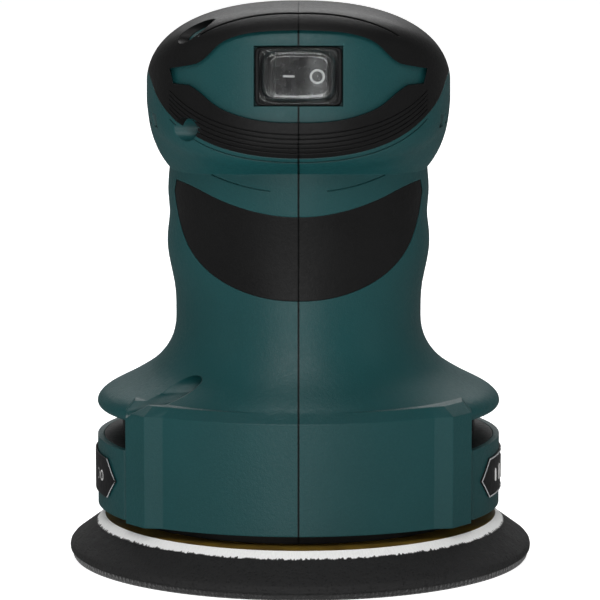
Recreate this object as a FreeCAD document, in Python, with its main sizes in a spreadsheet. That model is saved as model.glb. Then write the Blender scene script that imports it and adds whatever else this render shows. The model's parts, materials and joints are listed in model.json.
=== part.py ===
import FreeCAD, Part

import math
import os
import re

import Sketcher
from FreeCAD import Placement, Rotation, Vector

# Random orbit palm sander. Millimetres, +Z up. The origin is on the motor's axis, at the height of
# the sanding face. The switch faces -Y, the dust box is at +Y, and +X is on the right of the switch.

doc = FreeCAD.newDocument("orbital_sander")
sheet = doc.addObject("Spreadsheet::Sheet", "dims")

DRIVING = {
    "orbit_offset": (1.25, "pad axis from the motor's axis"),
    "pad_radius": (62.5, "backing pad at its widest"),
    "hook_radius": (61.7, "hook face"),
    "hook_thick": (1.6, "hook face thickness"),
    "foam_top_radius": (55.3, "foam where it meets the laminate"),
    "foam_top": (9.3, "height of the foam's top"),
    "plate_radius": (53.0, "laminate plate, top edge"),
    "plate_top": (11.3, "height of the laminate's top"),
    "dust_circle": (32.5, "circle of the pad's dust holes"),
    "dust_hole": (5.0, "radius of a dust hole"),
    "dust_count": (8, "dust holes in the pad"),
    "screw_circle": (14.0, "circle of the pad's screws"),
    "body_bottom": (14.3, "lower edge of the housing"),
    "drum_radius": (54.4, "housing drum"),
    "drum_top": (33.0, "upper edge of the drum"),
    "lobe_bottom": (40.6, "lower edge of the shoulder above the slot"),
    "wall": (2.6, "housing wall"),
    "skin": (1.7, "depth of the soft grip in the housing"),
    "seam": (0.13, "half the gap between the housing halves"),
    "slot_radius": (46.2, "inner wall of the air slot"),
    "front_reach": (51.0, "front panel from the motor's axis"),
    "front_arc": (65.8, "curve of the front panel in plan"),
    "panel_side": (45.6, "half width of the front panel block"),
    "panel_top": (43.9, "height where the panel's top edge turns in"),
    "head_half": (40.6, "half width of the head"),
    "head_level": (127.0, "height where the head is widest"),
    "face_tilt": (8.0, "lean of the switch face, degrees"),
    "face_level": (134.0, "height of the middle of the switch face"),
    "face_front": (46.0, "distance forward of the switch face"),
    "face_recess": (1.0, "depth of the green face inside the soft ring"),
    "switch_width": (23.0, "opening for the switch, across"),
    "switch_tall": (15.6, "opening for the switch, up"),
    "rocker_swing": (22.0, "rocker travel, degrees"),
    "shaft_radius": (4.5, "motor shaft in the armature"),
    "armature_radius": (17.6, "armature core"),
    "core_bottom": (56.0, "lower face of the motor's cores"),
    "core_length": (32.0, "length of the motor's cores"),
    "air_gap": (0.6, "between armature and field"),
    "field_radius": (28.4, "outside of the field core"),
    "slot_count": (12, "armature slots"),
    "commutator_radius": (9.5, "commutator"),
    "commutator_bottom": (95.0, "lower end of the commutator"),
    "commutator_length": (11.0, "length of the commutator"),
    "brush_level": (100.5, "height of the brushes"),
    "upper_bearing_level": (108.0, "lower face of the upper bearing"),
    "lower_bearing_level": (41.6, "lower face of the lower bearing"),
    "pad_bearing_level": (16.6, "lower face of the pad bearing"),
    "fan_radius": (40.5, "fan blade tips"),
    "fan_level": (29.5, "lower face of the fan disc"),
    "blade_count": (18, "fan blades on each side"),
    "bridge_radius": (43.6, "bearing bridge"),
    "bridge_level": (39.0, "lower face of the bearing bridge"),
    "screw_radius": (1.55, "housing screw thread"),
    "screw_head": (2.9, "housing screw head radius"),
    "gland_level": (121.0, "height of the cord gland"),
    "cord_hole": (3.7, "hole in the cord gland"),
    "port_width": (28.0, "dust outlet, across"),
    "port_tall": (13.0, "dust outlet, up"),
    "port_level": (23.0, "height of the middle of the dust outlet"),
    "port_end": (70.0, "rear end of the dust outlet"),
    "box_front": (58.6, "dust box, front face"),
    "box_rear": (106.0, "dust box, rear edge"),
    "box_half": (33.0, "dust box, half width"),
    "box_bottom": (14.6, "dust box, underside"),
    "box_top": (62.0, "dust box, top"),
    "box_wall": (1.8, "dust box wall"),
    "fit": (0.3, "gap between pieces that slide"),
    "badge_bottom": (18.6, "lower edge of a side badge"),
    "badge_tall": (10.6, "height of a side badge"),
    "badge_angle": (27.7, "half the badge's length round the drum, degrees"),
}
for row, (alias, (number, note)) in enumerate(DRIVING.items(), start=1):
    sheet.set(f"A{row}", note)
    sheet.set(f"B{row}", str(number))
    sheet.setAlias(f"B{row}", alias)
doc.recompute()

parts = {}


def linked(text):
    """The same formula with each driving dimension named on its sheet."""
    return re.sub(r"[a-z_]\w*", lambda m: "dims." + m[0] if m[0] in DRIVING else m[0], str(text))


def size(text):
    """The value of a formula in driving dimensions."""
    return float(sheet.evalExpression(linked(text)))


def keep(thing, label):
    """Marks a document object as a finished sub-part."""
    thing.Label = label
    parts[label] = thing
    return thing


def shaped(label, shape):
    """A sub-part whose outline is free-form."""
    thing = doc.addObject("Part::Feature", label)
    thing.Shape = shape
    thing.Placement = Placement()
    return keep(thing, label)


# ---- Part primitives and booleans, bound to the sheet ----

UP = Rotation()
ALONG_X = Rotation(Vector(0, 1, 0), 90)
ALONG_Y = Rotation(Vector(1, 0, 0), -90)


def place(thing, at, turn):
    thing.Placement = Placement(Vector(), turn)
    for axis, text in zip("xyz", at):
        thing.setExpression(f"Placement.Base.{axis}", linked(text))
    return thing


def cylinder(name, radius, height, at=(0, 0, 0), turn=UP):
    thing = doc.addObject("Part::Cylinder", name)
    thing.setExpression("Radius", linked(radius))
    thing.setExpression("Height", linked(height))
    return place(thing, at, turn)


def block(name, spans, at=(0, 0, 0), turn=UP):
    thing = doc.addObject("Part::Box", name)
    for prop, text in zip(("Length", "Width", "Height"), spans):
        thing.setExpression(prop, linked(text))
    return place(thing, at, turn)


def fused(name, *things):
    thing = doc.addObject("Part::MultiFuse", name)
    thing.Shapes = list(things)
    return thing


def common(name, *things):
    thing = doc.addObject("Part::MultiCommon", name)
    thing.Shapes = list(things)
    return thing


def cut(name, base, *tools):
    thing = doc.addObject("Part::Cut", name)
    thing.Base = base
    thing.Tool = tools[0] if len(tools) == 1 else fused(name + "_tools", *tools)
    return thing


# ---- PartDesign bodies with sketches ----

def body(label, at=(0, 0, 0), turn=UP):
    return keep(place(doc.addObject("PartDesign::Body", label), at, turn), label)


def plane(owner, role):
    return next(f for f in owner.Origin.OriginFeatures if f.Role == role)


def sketch(owner, role, lift=0):
    """A drawing on one of the body's own planes, lifted off it along the plane's normal."""
    drawing = owner.newObject("Sketcher::SketchObject", owner.Name + "_sketch")
    drawing.AttachmentSupport = [(plane(owner, role), "")]
    drawing.MapMode = "FlatFace"
    drawing.setExpression("AttachmentOffset.Base.z", linked(lift))
    return drawing


def pin(drawing, element, point, at):
    """Fixes a sketch point at a distance from the sketch's origin that the sheet gives."""
    for kind, text in zip(("DistanceX", "DistanceY"), at):
        number = size(text)
        if abs(number) < 1e-9:
            other = -2 if kind == "DistanceX" else -1
            drawing.addConstraint(Sketcher.Constraint("PointOnObject", element, point, other))
            continue
        ends = (-1, 1, element, point) if number > 0 else (element, point, -1, 1)
        index = drawing.addConstraint(Sketcher.Constraint(kind, *ends, abs(number)))
        drawing.setExpression(f"Constraints[{index}]", linked(text if number > 0 else f"-({text})"))


def outline(drawing, corners):
    """A closed outline of straight sides through corners that the sheet places."""
    spots = [Vector(size(across), size(up), 0) for across, up in corners]
    first = drawing.GeometryCount
    for index, spot in enumerate(spots):
        drawing.addGeometry(Part.LineSegment(spot, spots[(index + 1) % len(spots)]))
    for index, corner in enumerate(corners):
        following = first + (index + 1) % len(corners)
        drawing.addConstraint(Sketcher.Constraint("Coincident", first + index, 2, following, 1))
        pin(drawing, first + index, 1, corner)
    return drawing


def rectangle(drawing, left, low, right, high):
    return outline(drawing, [(left, low), (right, low), (right, high), (left, high)])


def circle(drawing, radius, at=(0, 0)):
    spot = Vector(size(at[0]), size(at[1]), 0)
    element = drawing.addGeometry(Part.Circle(spot, Vector(0, 0, 1), size(radius)))
    index = drawing.addConstraint(Sketcher.Constraint("Radius", element, size(radius)))
    drawing.setExpression(f"Constraints[{index}]", linked(radius))
    pin(drawing, element, 3, at)
    return drawing


def feature(owner, kind, drawing, **settings):
    thing = owner.newObject("PartDesign::" + kind, owner.Name + "_" + kind.lower())
    thing.Profile = drawing
    for prop, setting in settings.items():
        if isinstance(setting, str):
            thing.setExpression(prop, linked(setting))
        else:
            setattr(thing, prop, setting)
    drawing.Visibility = False
    return thing


def turned(owner, corners):
    """A revolved solid: corners are (radius, height)."""
    drawing = outline(sketch(owner, "XZ_Plane"), corners)
    return feature(owner, "Revolution", drawing, ReferenceAxis=(drawing, ["V_Axis"]), Angle=360.0)


def polar(owner, source, count):
    """Repeats a feature round the body's own vertical axis."""
    pattern = owner.newObject("PartDesign::PolarPattern", owner.Name + "_polar")
    pattern.Originals = [source]
    pattern.Axis = (plane(owner, "Z_Axis"), [""])
    pattern.Angle = 360.0
    pattern.setExpression("Occurrences", linked(count))
    owner.Tip = pattern
    return pattern


# The pad turns about an axis that stands off the motor's axis.
ORBIT_TURN = math.radians(-66.5)
ORBIT = (f"orbit_offset * {math.cos(ORBIT_TURN):.4f}", f"orbit_offset * {math.sin(ORBIT_TURN):.4f}", 0)


# ======== Housing ========

def superellipse_half(half_width, front, back, power, level):
    """Right half of a level section, from the back seam round to the front seam."""
    steps = 28
    points = []
    for step in range(steps):
        angle = 2 * math.pi * step / steps
        cosine, sine = math.cos(angle), math.sin(angle)
        reach = back if cosine > 0 else front
        across = math.copysign(half_width * abs(sine) ** (2 / power), sine)
        along = math.copysign(reach * abs(cosine) ** (2 / power), cosine)
        points.append(Vector(across, along, level))
    curve = Part.BSplineCurve()
    curve.interpolate(Points=points, PeriodicFlag=True)
    at_front = Vector(0, -front, level)
    curve.segment(curve.FirstParameter, curve.parameter(at_front))
    half = curve.toShape()
    back_end, front_end = half.valueAt(half.FirstParameter), half.valueAt(half.LastParameter)
    return Part.Wire([half, Part.makeLine(front_end, back_end)])


# Level sections of the shoulder and neck: height, half width, reach to the front, reach to the back.
NECK_SECTIONS = [
    (40.6, 53.1, 48.4, 53.1), (41.2, 54.0, 49.2, 54.0), (42.2, 54.4, 49.6, 54.5),
    (43.8, 53.6, 49.5, 54.0), (45.6, 50.9, 49.1, 52.4), (47.7, 46.6, 47.9, 50.2),
    (49.9, 42.7, 46.3, 47.8), (52.0, 39.6, 44.7, 45.4), (54.2, 37.3, 43.2, 43.3),
    (58.6, 34.4, 40.8, 40.0), (66.0, 33.0, 37.9, 37.0), (74.0, 33.4, 36.4, 35.4),
    (81.0, 34.8, 36.0, 35.0), (89.0, 35.1, 36.1, 35.0), (97.0, 34.9, 36.7, 35.6),
    (104.0, 34.8, 37.4, 36.5), (111.0, 34.8, 37.8, 37.4), (118.0, 34.8, 38.0, 38.0),
]
NECK_POWER = 2.1


def neck_half(inset, floor=0.0):
    """Right half of the shoulder and neck, drawn in by the inset, from a floor up."""
    wires = []
    for level, half_width, front, back in NECK_SECTIONS:
        if level >= floor:
            spans = (half_width - inset, front - inset, back - inset)
            wires.append(superellipse_half(*spans, NECK_POWER, level))
    return Part.makeLoft(wires, True, False)


# Profile of the head in the seam plane, as (Y, Z), from under the switch face over the crown.
HEAD_PROFILE = [
    (-48.1, 117.0), (-47.3, 124.5), (-46.2, 132.0), (-45.1, 139.8), (-43.4, 145.6), (-39.5, 149.0),
    (-31.0, 150.8), (-19.0, 151.2), (-5.0, 150.2), (10.0, 147.4), (26.0, 142.0), (40.0, 133.2),
    (47.4, 123.5), (48.0, 114.0), (43.0, 106.0), (30.0, 100.5), (10.0, 96.0), (-10.0, 95.5),
    (-29.0, 102.6), (-39.0, 108.3), (-46.2, 112.0),
]
HEAD_STATIONS = (0, 0.2, 0.4, 0.58, 0.74, 0.86, 0.94, 0.98, 0.994)


def head_half(inset):
    """Right half of the head: the seam profile shrinks towards the side as a superellipse does."""
    level = size("head_level")
    wires = []
    for station in HEAD_STATIONS:
        along_scale = (1 - station ** 2.6) ** (1 / 2.6) * (1 - inset / 48.0)
        upper_scale = (1 - station ** 2.3) ** (1 / 2.3) * (1 - inset / 24.0)
        lower_scale = (1 - station ** 2.6) ** (1 / 2.6) * (1 - inset / 32.0)
        across = station * (size("head_half") - inset)
        points = []
        for along, height in HEAD_PROFILE:
            rise = height - level
            points.append(Vector(across, along * along_scale,
                                 level + rise * (upper_scale if rise > 0 else lower_scale)))
        curve = Part.BSplineCurve()
        curve.interpolate(Points=points, PeriodicFlag=True)
        wires.append(Part.Wire([curve.toShape()]))
    return Part.makeLoft(wires, True, False)


def prism(edges, direction):
    """A solid pushed out from a closed run of edges."""
    return Part.Face(Part.Wire(edges)).extrude(direction)


def chain(points, **ends):
    """A smooth curve through points."""
    curve = Part.BSplineCurve()
    curve.interpolate(Points=points, **ends)
    return curve.toShape()


def panel_outline(level, shrink=0.0):
    """Plan outline of the right half of the front panel block."""
    reach = size("front_reach") - shrink
    arc_radius = size("front_arc")
    side = size("panel_side") - shrink
    edge = Vector(35.5 - shrink, 0, level)
    edge.y = -reach + arc_radius - math.sqrt(arc_radius ** 2 - edge.x ** 2)
    middle = Vector(edge.x / 2, 0, level)
    middle.y = -reach + arc_radius - math.sqrt(arc_radius ** 2 - middle.x ** 2)
    corner = Vector(40.5 - shrink, -39.8 + shrink, level)
    turn_in = Vector(side, -33.0 + shrink, level)
    rear = Vector(side, -22.0, level)
    return Part.Wire([
        Part.Arc(Vector(0, -reach, level), middle, edge).toShape(),
        Part.makeLine(edge, corner),
        Part.makeLine(corner, turn_in),
        Part.makeLine(turn_in, rear),
        Part.makeLine(rear, Vector(0, -22.0, level)),
        Part.makeLine(Vector(0, -22.0, level), Vector(0, -reach, level)),
    ])


def panel_half():
    """Right half of the front panel block, with its top edge turned in to the shoulder."""
    low, high = size("body_bottom"), size("panel_top")
    upright = Part.Face(panel_outline(low)).extrude(Vector(0, 0, high - low))
    turned_in = Part.makeLoft([panel_outline(high), panel_outline(high + 2.6, 2.4)], True, True)
    return upright.fuse(turned_in)


def half_disc(radius, low, high, centre=0.0):
    """The X > 0 half of an upright cylinder on the seam plane."""
    return Part.makeCylinder(radius, high - low, Vector(0, centre, low), Vector(0, 0, 1), 180).rotated(
        Vector(0, centre, 0), Vector(0, 0, 1), -90)


def half_ring(inner, outer, low, high):
    return half_disc(outer, low, high).cut(half_disc(inner, low - 1, high + 1))


def rear_block(inset=0.0):
    """Right half of the block behind the drum that carries the dust outlet."""
    low, high = size("body_bottom"), size("drum_top")
    shape = Part.makeBox(21 - inset, 57 - 36, high - low, Vector(0, 36, low))
    return shape.makeFillet(5, [e for e in shape.Edges if is_upright(e, 21 - inset, 57)])


def is_upright(edge, across, along):
    """Whether an edge stands upright at a place in plan."""
    ends = [v.Point for v in edge.Vertexes]
    return len(ends) == 2 and all(abs(p.x - across) < 0.01 and abs(p.y - along) < 0.01 for p in ends)


neck_outer = neck_half(0.0)
head_outer = head_half(0.0)
FAR = 80.0


def slab(near, far):
    """A box between two corners."""
    spans = [abs(b - a) for a, b in zip(near, far)]
    return Part.makeBox(*spans, Vector(*[min(a, b) for a, b in zip(near, far)]))


def outer_half():
    """Right half of everything that the housing's outside encloses."""
    low, slot_radius = size("body_bottom"), size("slot_radius")
    drum = half_disc(size("drum_radius"), low, size("drum_top"))
    drum = drum.cut(slab((-1, -FAR, 0), (size("panel_side") + 1, -28.5, FAR)))
    slot_wall = half_disc(slot_radius, low + 10, size("lobe_bottom") + 2)
    return neck_outer.fuse([head_outer, panel_half(), drum, rear_block(), slot_wall])


def cavity_half():
    """Right half of the room inside the housing."""
    wall = size("wall")
    low, flange = size("body_bottom") - 1, size("drum_top") - wall
    arc_centre = size("front_arc - front_reach")
    chamber = half_disc(size("drum_radius - wall"), low, flange)
    chamber = chamber.common(half_disc(size("front_arc - wall"), low, flange, arc_centre))
    throat = half_disc(size("slot_radius") - 2.2, flange - 1, 45)
    return neck_half(wall, 43).fuse([head_half(wall), chamber, throat])


def face_placement(depth=0.0):
    """The switch face's own frame: X across, Y up the face, Z out of it."""
    turn = Rotation(Vector(1, 0, 0), 90 - size("face_tilt"))
    middle = Vector(0, -size("face_front"), size("face_level"))
    return Placement(middle + turn.multVec(Vector(0, 0, depth)), turn)


def face_box(across, tall, low, high):
    """A box square to the switch face, centred on it."""
    shape = Part.makeBox(across, tall, high - low, Vector(-across / 2, -tall / 2, low))
    shape.Placement = face_placement()
    return shape


# Housing screws run along X from the left: (Y, Z, boss radius).
SCREW_PLACES = [(-32.0, 50.6, 4.8), (-38.4, 119.4, 4.6), (-33.0, 144.4, 3.8),
                (36.0, 50.6, 4.8), (31.5, 109.0, 4.2), (20.0, 138.0, 4.0)]
SCREW_SEAT = 12.0
SCREW_TIP = 12.0
# Air slots round the right half of the drum, degrees from +X.
SLOT_ANGLES = range(-24, 73, 12)
# Air vents under the side of the head: middles along Y, half length, lower and upper edge.
VENT_MIDDLES = (-23, -14, -5, 4, 13)
VENT_HALF, VENT_LOW, VENT_HIGH = 2.6, 118.4, 122.0


def along_x(radius, near, far, along, level):
    return Part.makeCylinder(radius, far - near, Vector(near, along, level), Vector(1, 0, 0))


def along_y(radius, near, far, across, level):
    return Part.makeCylinder(radius, far - near, Vector(across, near, level), Vector(0, 1, 0))


def driver_trough(radius):
    """The lower front screw's recess, leaned outwards so that a driver reaches in, on the right."""
    trough = along_x(radius, 0, 30, 0, 0)
    trough.Placement = Placement(Vector(22, -32.6, 50.2), Rotation(Vector(0, 1, 0), 11))
    return trough


def inner_ribs():
    """Right half of the ledges, seats and bosses inside the shell, before they meet its outside."""
    bridge = size("bridge_level")
    ledge_inner, throat = 41.8, size("slot_radius") - 2.0
    core_low, core_high = size("core_bottom"), size("core_bottom + core_length")
    bearing = size("upper_bearing_level")
    ribs = [
        half_ring(ledge_inner, throat, bridge - 2, bridge),
        half_ring(ledge_inner, throat, bridge + 2.6, bridge + 4.6),
        half_ring(25.2, FAR, core_low - 2.6, core_low - 0.1),
        half_ring(25.2, FAR, core_high + 0.1, core_high + 2.6),
        half_ring(48.0, FAR, 15.5, 19.5),
        half_disc(12.5, bearing - 1.4, bearing + 7.4),
        slab((0, -FAR, bearing - 1.4), (3.2, FAR, bearing + 5.4)),
        face_box(27.0, 19.6, -8.2, 0),
        along_y(11.0, 40, 49, 0, size("gland_level")),
        slab((0, 49.5, size("body_bottom")), (17, 56, size("drum_top"))),
        driver_trough(4.6),
    ]
    for along, level, boss in SCREW_PLACES:
        ribs.append(along_x(boss, 0, FAR, along, level))
    return ribs


def gland_room():
    """Space for the cord gland: a neck through the wall and a seat on each side of it."""
    level = size("gland_level")
    return [along_y(8.8, 36, 40, 0, level), along_y(6.5, 30, FAR, 0, level),
            along_y(9.6, 46.6, FAR, 0, level)]


def inner_holes():
    """What is cleared out of the ribs and the shell on both sides of the seam."""
    bearing = size("upper_bearing_level")
    port, port_tall = size("port_level"), size("port_tall")
    drum_top, lobe = size("drum_top"), size("lobe_bottom")
    slot_radius = size("slot_radius")
    holes = [
        half_disc(9.5, bearing, bearing + 6),
        half_disc(6.0, bearing - 3, bearing + 9),
        face_box(size("switch_width"), size("switch_tall"), -5.8, 6),
        face_box(19.4, 13.4, -12, 0),
        slab((-1, 47, port - port_tall / 2), (size("port_width / 2"), FAR, port + port_tall / 2)),
        half_ring(slot_radius, 52.7, drum_top - 1, drum_top + 1).cut(
            slab((-1, -FAR, 0), (size("panel_side") + 0.1, -21.8, FAR))),
    ]
    for angle in SLOT_ANGLES:
        slot = slab((slot_radius - 4, -1.5, drum_top + 1.6), (slot_radius + 4, 1.5, lobe - 1.2))
        holes.append(slot.rotated(Vector(), Vector(0, 0, 1), angle))
    for along in VENT_MIDDLES:
        holes.append(slab((33, along - VENT_HALF, VENT_LOW), (45, along + VENT_HALF, VENT_HIGH)))
    return holes + gland_room()


# Lower edge of the soft grip round the head, as (X, Z) seen along Y.
BAND_EDGE = [(0, 112.7), (8.2, 113.1), (15.6, 114.2), (22.4, 116.1), (28.2, 118.8), (33.6, 122.8),
             (37.6, 127.8), (39.6, 132.0), (43.0, 134.2)]


def seen_along_y(points, rise=0.0):
    return [Vector(across, 0, level + rise) for across, level in points]


def above_band(rise=0.0):
    """Everything above the lower edge of the head's soft grip, on the right."""
    points = seen_along_y(BAND_EDGE, rise)
    top = Vector(points[-1].x, 0, 160)
    edges = [chain(points, InitialTangent=Vector(1, 0, 0), FinalTangent=Vector(1, 0, 0.3)),
             Part.makeLine(points[-1], top),
             Part.makeLine(top, Vector(0, 0, 160)),
             Part.makeLine(Vector(0, 0, 160), points[0])]
    return prism(edges, Vector(0, 2 * FAR, 0)).translated(Vector(0, -FAR, 0))


def face_prism():
    """The green switch face and its side tab, on the right, pushed through the head's front."""
    upper = seen_along_y([(0, 145.5), (8.3, 145.2), (15.6, 144.0), (20.5, 141.7), (23.6, 138.6),
                          (26.6, 136.4)])
    tab = seen_along_y([(33.6, 134.6), (32.6, 130.8), (28.4, 130.8)])
    lower = seen_along_y([(28.4, 130.8), (25.4, 129.0), (21.4, 126.0), (16.8, 124.0), (8.8, 122.3),
                          (0, 122.0)])
    edges = [chain(upper, InitialTangent=Vector(1, 0, 0)),
             Part.makeLine(upper[-1], tab[0]),
             Part.makeLine(tab[0], tab[1]),
             Part.makeLine(tab[1], tab[2]),
             chain(lower, FinalTangent=Vector(-1, 0, 0)),
             Part.makeLine(lower[-1], upper[0])]
    return prism(edges, Vector(0, -FAR, 0)).translated(Vector(0, -5, 0))


def crescent_prism(shrink=1.0):
    """The grip on the front of the neck, on the right, pushed through the neck's front."""
    top = [(0, 96.2), (7.3, 96.7), (14.7, 98.2), (22.4, 100.7), (28.6, 103.0), (32.4, 103.6)]
    bottom = [(32.9, 100.6), (31.4, 92.2), (29.0, 86.4), (24.0, 80.8), (17.2, 77.0), (9.2, 74.7), (0, 74.0)]
    middle = 86.0

    def fitted(points):
        return [Vector(x * shrink, 0, middle + (z - middle) * shrink) for x, z in points]

    top, bottom = fitted(top), fitted(bottom)
    edges = [chain(top, InitialTangent=Vector(1, 0, 0)),
             Part.makeLine(top[-1], bottom[0]),
             chain(bottom, FinalTangent=Vector(-1, 0, 0)),
             Part.makeLine(bottom[-1], top[0])]
    return prism(edges, Vector(0, -FAR, 0)).translated(Vector(0, -5, 0))


def line_cutter(points, width, near=-FAR, far=-10):
    """A thin strip along a curve seen along Y, to cut a fine groove."""
    low = chain(seen_along_y(points))
    high = chain(seen_along_y(points, width))
    edges = [low, Part.makeLine(low.Vertexes[-1].Point, high.Vertexes[-1].Point), high,
             Part.makeLine(high.Vertexes[0].Point, low.Vertexes[0].Point)]
    return prism(edges, Vector(0, far - near, 0)).translated(Vector(0, near, 0))


def groove(whole, inset, points, width, **reach):
    """The part of a strip that lies in the skin between a solid and its inset."""
    return line_cutter(points, width, **reach).common(whole).cut(inset)


GROOVE_WIDTH = 0.3
GROOVE_DEPTH = 0.35
RIM_DROP = 1.3
RIDGE_COUNT, RIDGE_STEP = 5, 1.2
CROWN_LINE = [(0, 149.2), (8.4, 148.9), (16.4, 147.4), (21.5, 145.6), (26.0, 143.2)]
NECK_LINE = [(7.4, 102.9), (12.0, 103.5), (17.0, 104.6), (22.8, 106.4)]

shell = outer_half()
inside = shell.common(neck_half(1.0).fuse([head_half(1.0), slab((-1, -FAR, 0), (FAR, FAR, 45))]))
ribs = [rib.common(inside) for rib in inner_ribs()]
shell = shell.cut(cavity_half()).fuse(ribs)
shell = shell.cut(Part.makeCompound(inner_holes()))

band = above_band()
face = face_prism()
crescent = crescent_prism()
head_skin = head_outer.cut(head_half(size("skin")))
neck_skin = neck_outer.cut(neck_half(size("skin")))
head_grip = head_skin.common(band).cut([face] + gland_room())
neck_grip = neck_skin.common(crescent_prism(0.995))
shell = shell.cut(head_grip)
shell = shell.cut(neck_skin.common(crescent))
shell = shell.cut(head_outer.cut(head_half(size("face_recess"))).common(face))

fine_head = head_half(GROOVE_DEPTH)
band_points = [p for p in BAND_EDGE if p[0] < 34]
for ridge in range(RIDGE_COUNT):
    strip = [(x, z + RIM_DROP + RIDGE_STEP * ridge) for x, z in band_points]
    head_grip = head_grip.cut(groove(head_outer, fine_head, strip, GROOVE_WIDTH))
head_grip = head_grip.cut(groove(head_outer, fine_head, CROWN_LINE, GROOVE_WIDTH, far=-24))
shell = shell.cut(groove(neck_outer, neck_half(GROOVE_DEPTH), NECK_LINE, GROOVE_WIDTH))
rim_line = [(x, z - RIM_DROP) for x, z in band_points]
shell = shell.cut(groove(head_outer, fine_head, rim_line, GROOVE_WIDTH, far=-26))
print("right half", round(shell.Volume), shell.isValid(), len(shell.Solids))
print("grips", round(head_grip.Volume), head_grip.isValid(), len(head_grip.Solids),
      round(neck_grip.Volume), neck_grip.isValid(), len(neck_grip.Solids))


def mirrored(shape):
    return shape.mirror(Vector(), Vector(1, 0, 0))


def left_screw_holes():
    """Through holes and deep head recesses, which only the left half has."""
    holes = []
    for along, level, boss in SCREW_PLACES:
        holes.append(along_x(size("screw_radius") + 0.4, -SCREW_SEAT - 1, 1, along, level))
        holes.append(along_x(size("screw_head") + 0.2, -FAR, -SCREW_SEAT, along, level))
    return holes + [mirrored(driver_trough(size("screw_head") + 0.2))]


def right_screw_holes():
    """Pilot holes that the threads bite into."""
    return [along_x(size("screw_radius"), -1, SCREW_TIP + 2, along, level)
            for along, level, boss in SCREW_PLACES]


seam = Vector(size("seam"), 0, 0)
housing_right = shell.cut(Part.makeCompound(right_screw_holes())).translated(seam)
recesses = Part.makeCompound(left_screw_holes())
housing_left = mirrored(shell).cut(recesses).translated(-seam)
shaped("housing_right", housing_right)
shaped("housing_left", housing_left)
shaped("head_grip_right", head_grip.translated(seam))
shaped("head_grip_left", mirrored(head_grip).cut(recesses).translated(-seam))
shaped("neck_grip_right", neck_grip.translated(seam))
shaped("neck_grip_left", mirrored(neck_grip).translated(-seam))


# ======== Pieces fixed in the housing ========

def air_ring():
    """The dark liner of the air slot: a ledge on the drum and a slotted wall behind it."""
    drum_top, lobe = size("drum_top"), size("lobe_bottom")
    inner = size("slot_radius") + 0.1
    low, high = drum_top - 0.95, lobe - 0.1
    ring = Part.makeCylinder(52.6, 0.95, Vector(0, 0, low))
    ring = ring.fuse(Part.makeCylinder(inner + 1.4, high - low, Vector(0, 0, low)))
    side = size("panel_side") + 0.15
    holes = [Part.makeCylinder(inner, FAR, Vector(0, 0, 0)),
             slab((-side, -FAR, 0), (side, -21.7, FAR)),
             slab((-FAR, -FAR, 0), (FAR, -30, FAR))]
    for angle in SLOT_ANGLES:
        for turn in (angle, 180 - angle):
            slot = slab((inner - 2, -1.5, drum_top + 1.6), (inner + 4, 1.5, lobe - 1.2))
            holes.append(slot.rotated(Vector(), Vector(0, 0, 1), turn))
    return ring.cut(holes)


def badge():
    """A plate bent round the drum, with a pointed front and rear end, on the right."""
    radius = size("drum_radius")
    low, tall = size("badge_bottom"), size("badge_tall")
    tip = radius * math.sin(math.radians(size("badge_angle")))
    corner = tip - tall * 0.53
    points = [Vector(40, -tip, low + tall / 2), Vector(40, -corner, low + tall),
              Vector(40, corner, low + tall), Vector(40, tip, low + tall / 2),
              Vector(40, corner, low), Vector(40, -corner, low)]
    shape = Part.Face(Part.makePolygon(points + points[:1])).extrude(Vector(30, 0, 0))
    sleeve = Part.makeCylinder(radius + 0.4, tall, Vector(0, 0, low)).cut(
        Part.makeCylinder(radius + 0.01, tall, Vector(0, 0, low)))
    return sleeve.common(shape).translated(seam)


shaped("exhaust_ring", air_ring())
shaped("side_badge_right", badge())
shaped("side_badge_left", mirrored(badge()))

spigot = body("dust_spigot", at=(0, 48, "port_level"))
feature(spigot, "Pad", rectangle(sketch(spigot, "XZ_Plane"), "-port_width / 2 + 0.1",
        "-port_tall / 2 + 0.1", "port_width / 2 - 0.1", "port_tall / 2 - 0.1"),
        Length="port_end - 48", Reversed=True)
doc.recompute()
feature(spigot, "Pocket", rectangle(sketch(spigot, "XZ_Plane"), "-port_width / 2 + 1.7",
        "-port_tall / 2 + 1.7", "port_width / 2 - 1.7", "port_tall / 2 - 1.7"), Type=1, Midplane=True)

gland = body("cord_gland", at=(0, 38, "gland_level"), turn=ALONG_Y)
turned(gland, [("cord_hole", 0), (8.6, 0), (8.6, 1.9), (6.4, 1.9), (6.4, 8.7), (9.3, 8.7), (9.3, 10.4),
               (7.8, 11.4), ("cord_hole", 11.4)])

brake = body("brake_ring")
turned(brake, [(45.5, "plate_top + 0.35"), (47.0, "plate_top + 0.35"), (47.9, "plate_top + 2.4"),
               (47.9, 19.4), (45.5, 19.4)])

bridge = body("bearing_bridge", at=(0, 0, "bridge_level"))
turned(bridge, [(8.2, 0), ("bridge_radius", 0), ("bridge_radius", 2.5), (17, 2.5),
                (17, "lower_bearing_level - bridge_level + 8"),
                (14, "lower_bearing_level - bridge_level + 8"),
                (14, "lower_bearing_level - bridge_level"), (8.2, "lower_bearing_level - bridge_level")])
doc.recompute()
window = feature(bridge, "Pocket", circle(sketch(bridge, "XY_Plane"), 6, (29, 0)), Type=1,
                 Midplane=True)
doc.recompute()
polar(bridge, window, 8)


# ---- Motor ----

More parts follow.
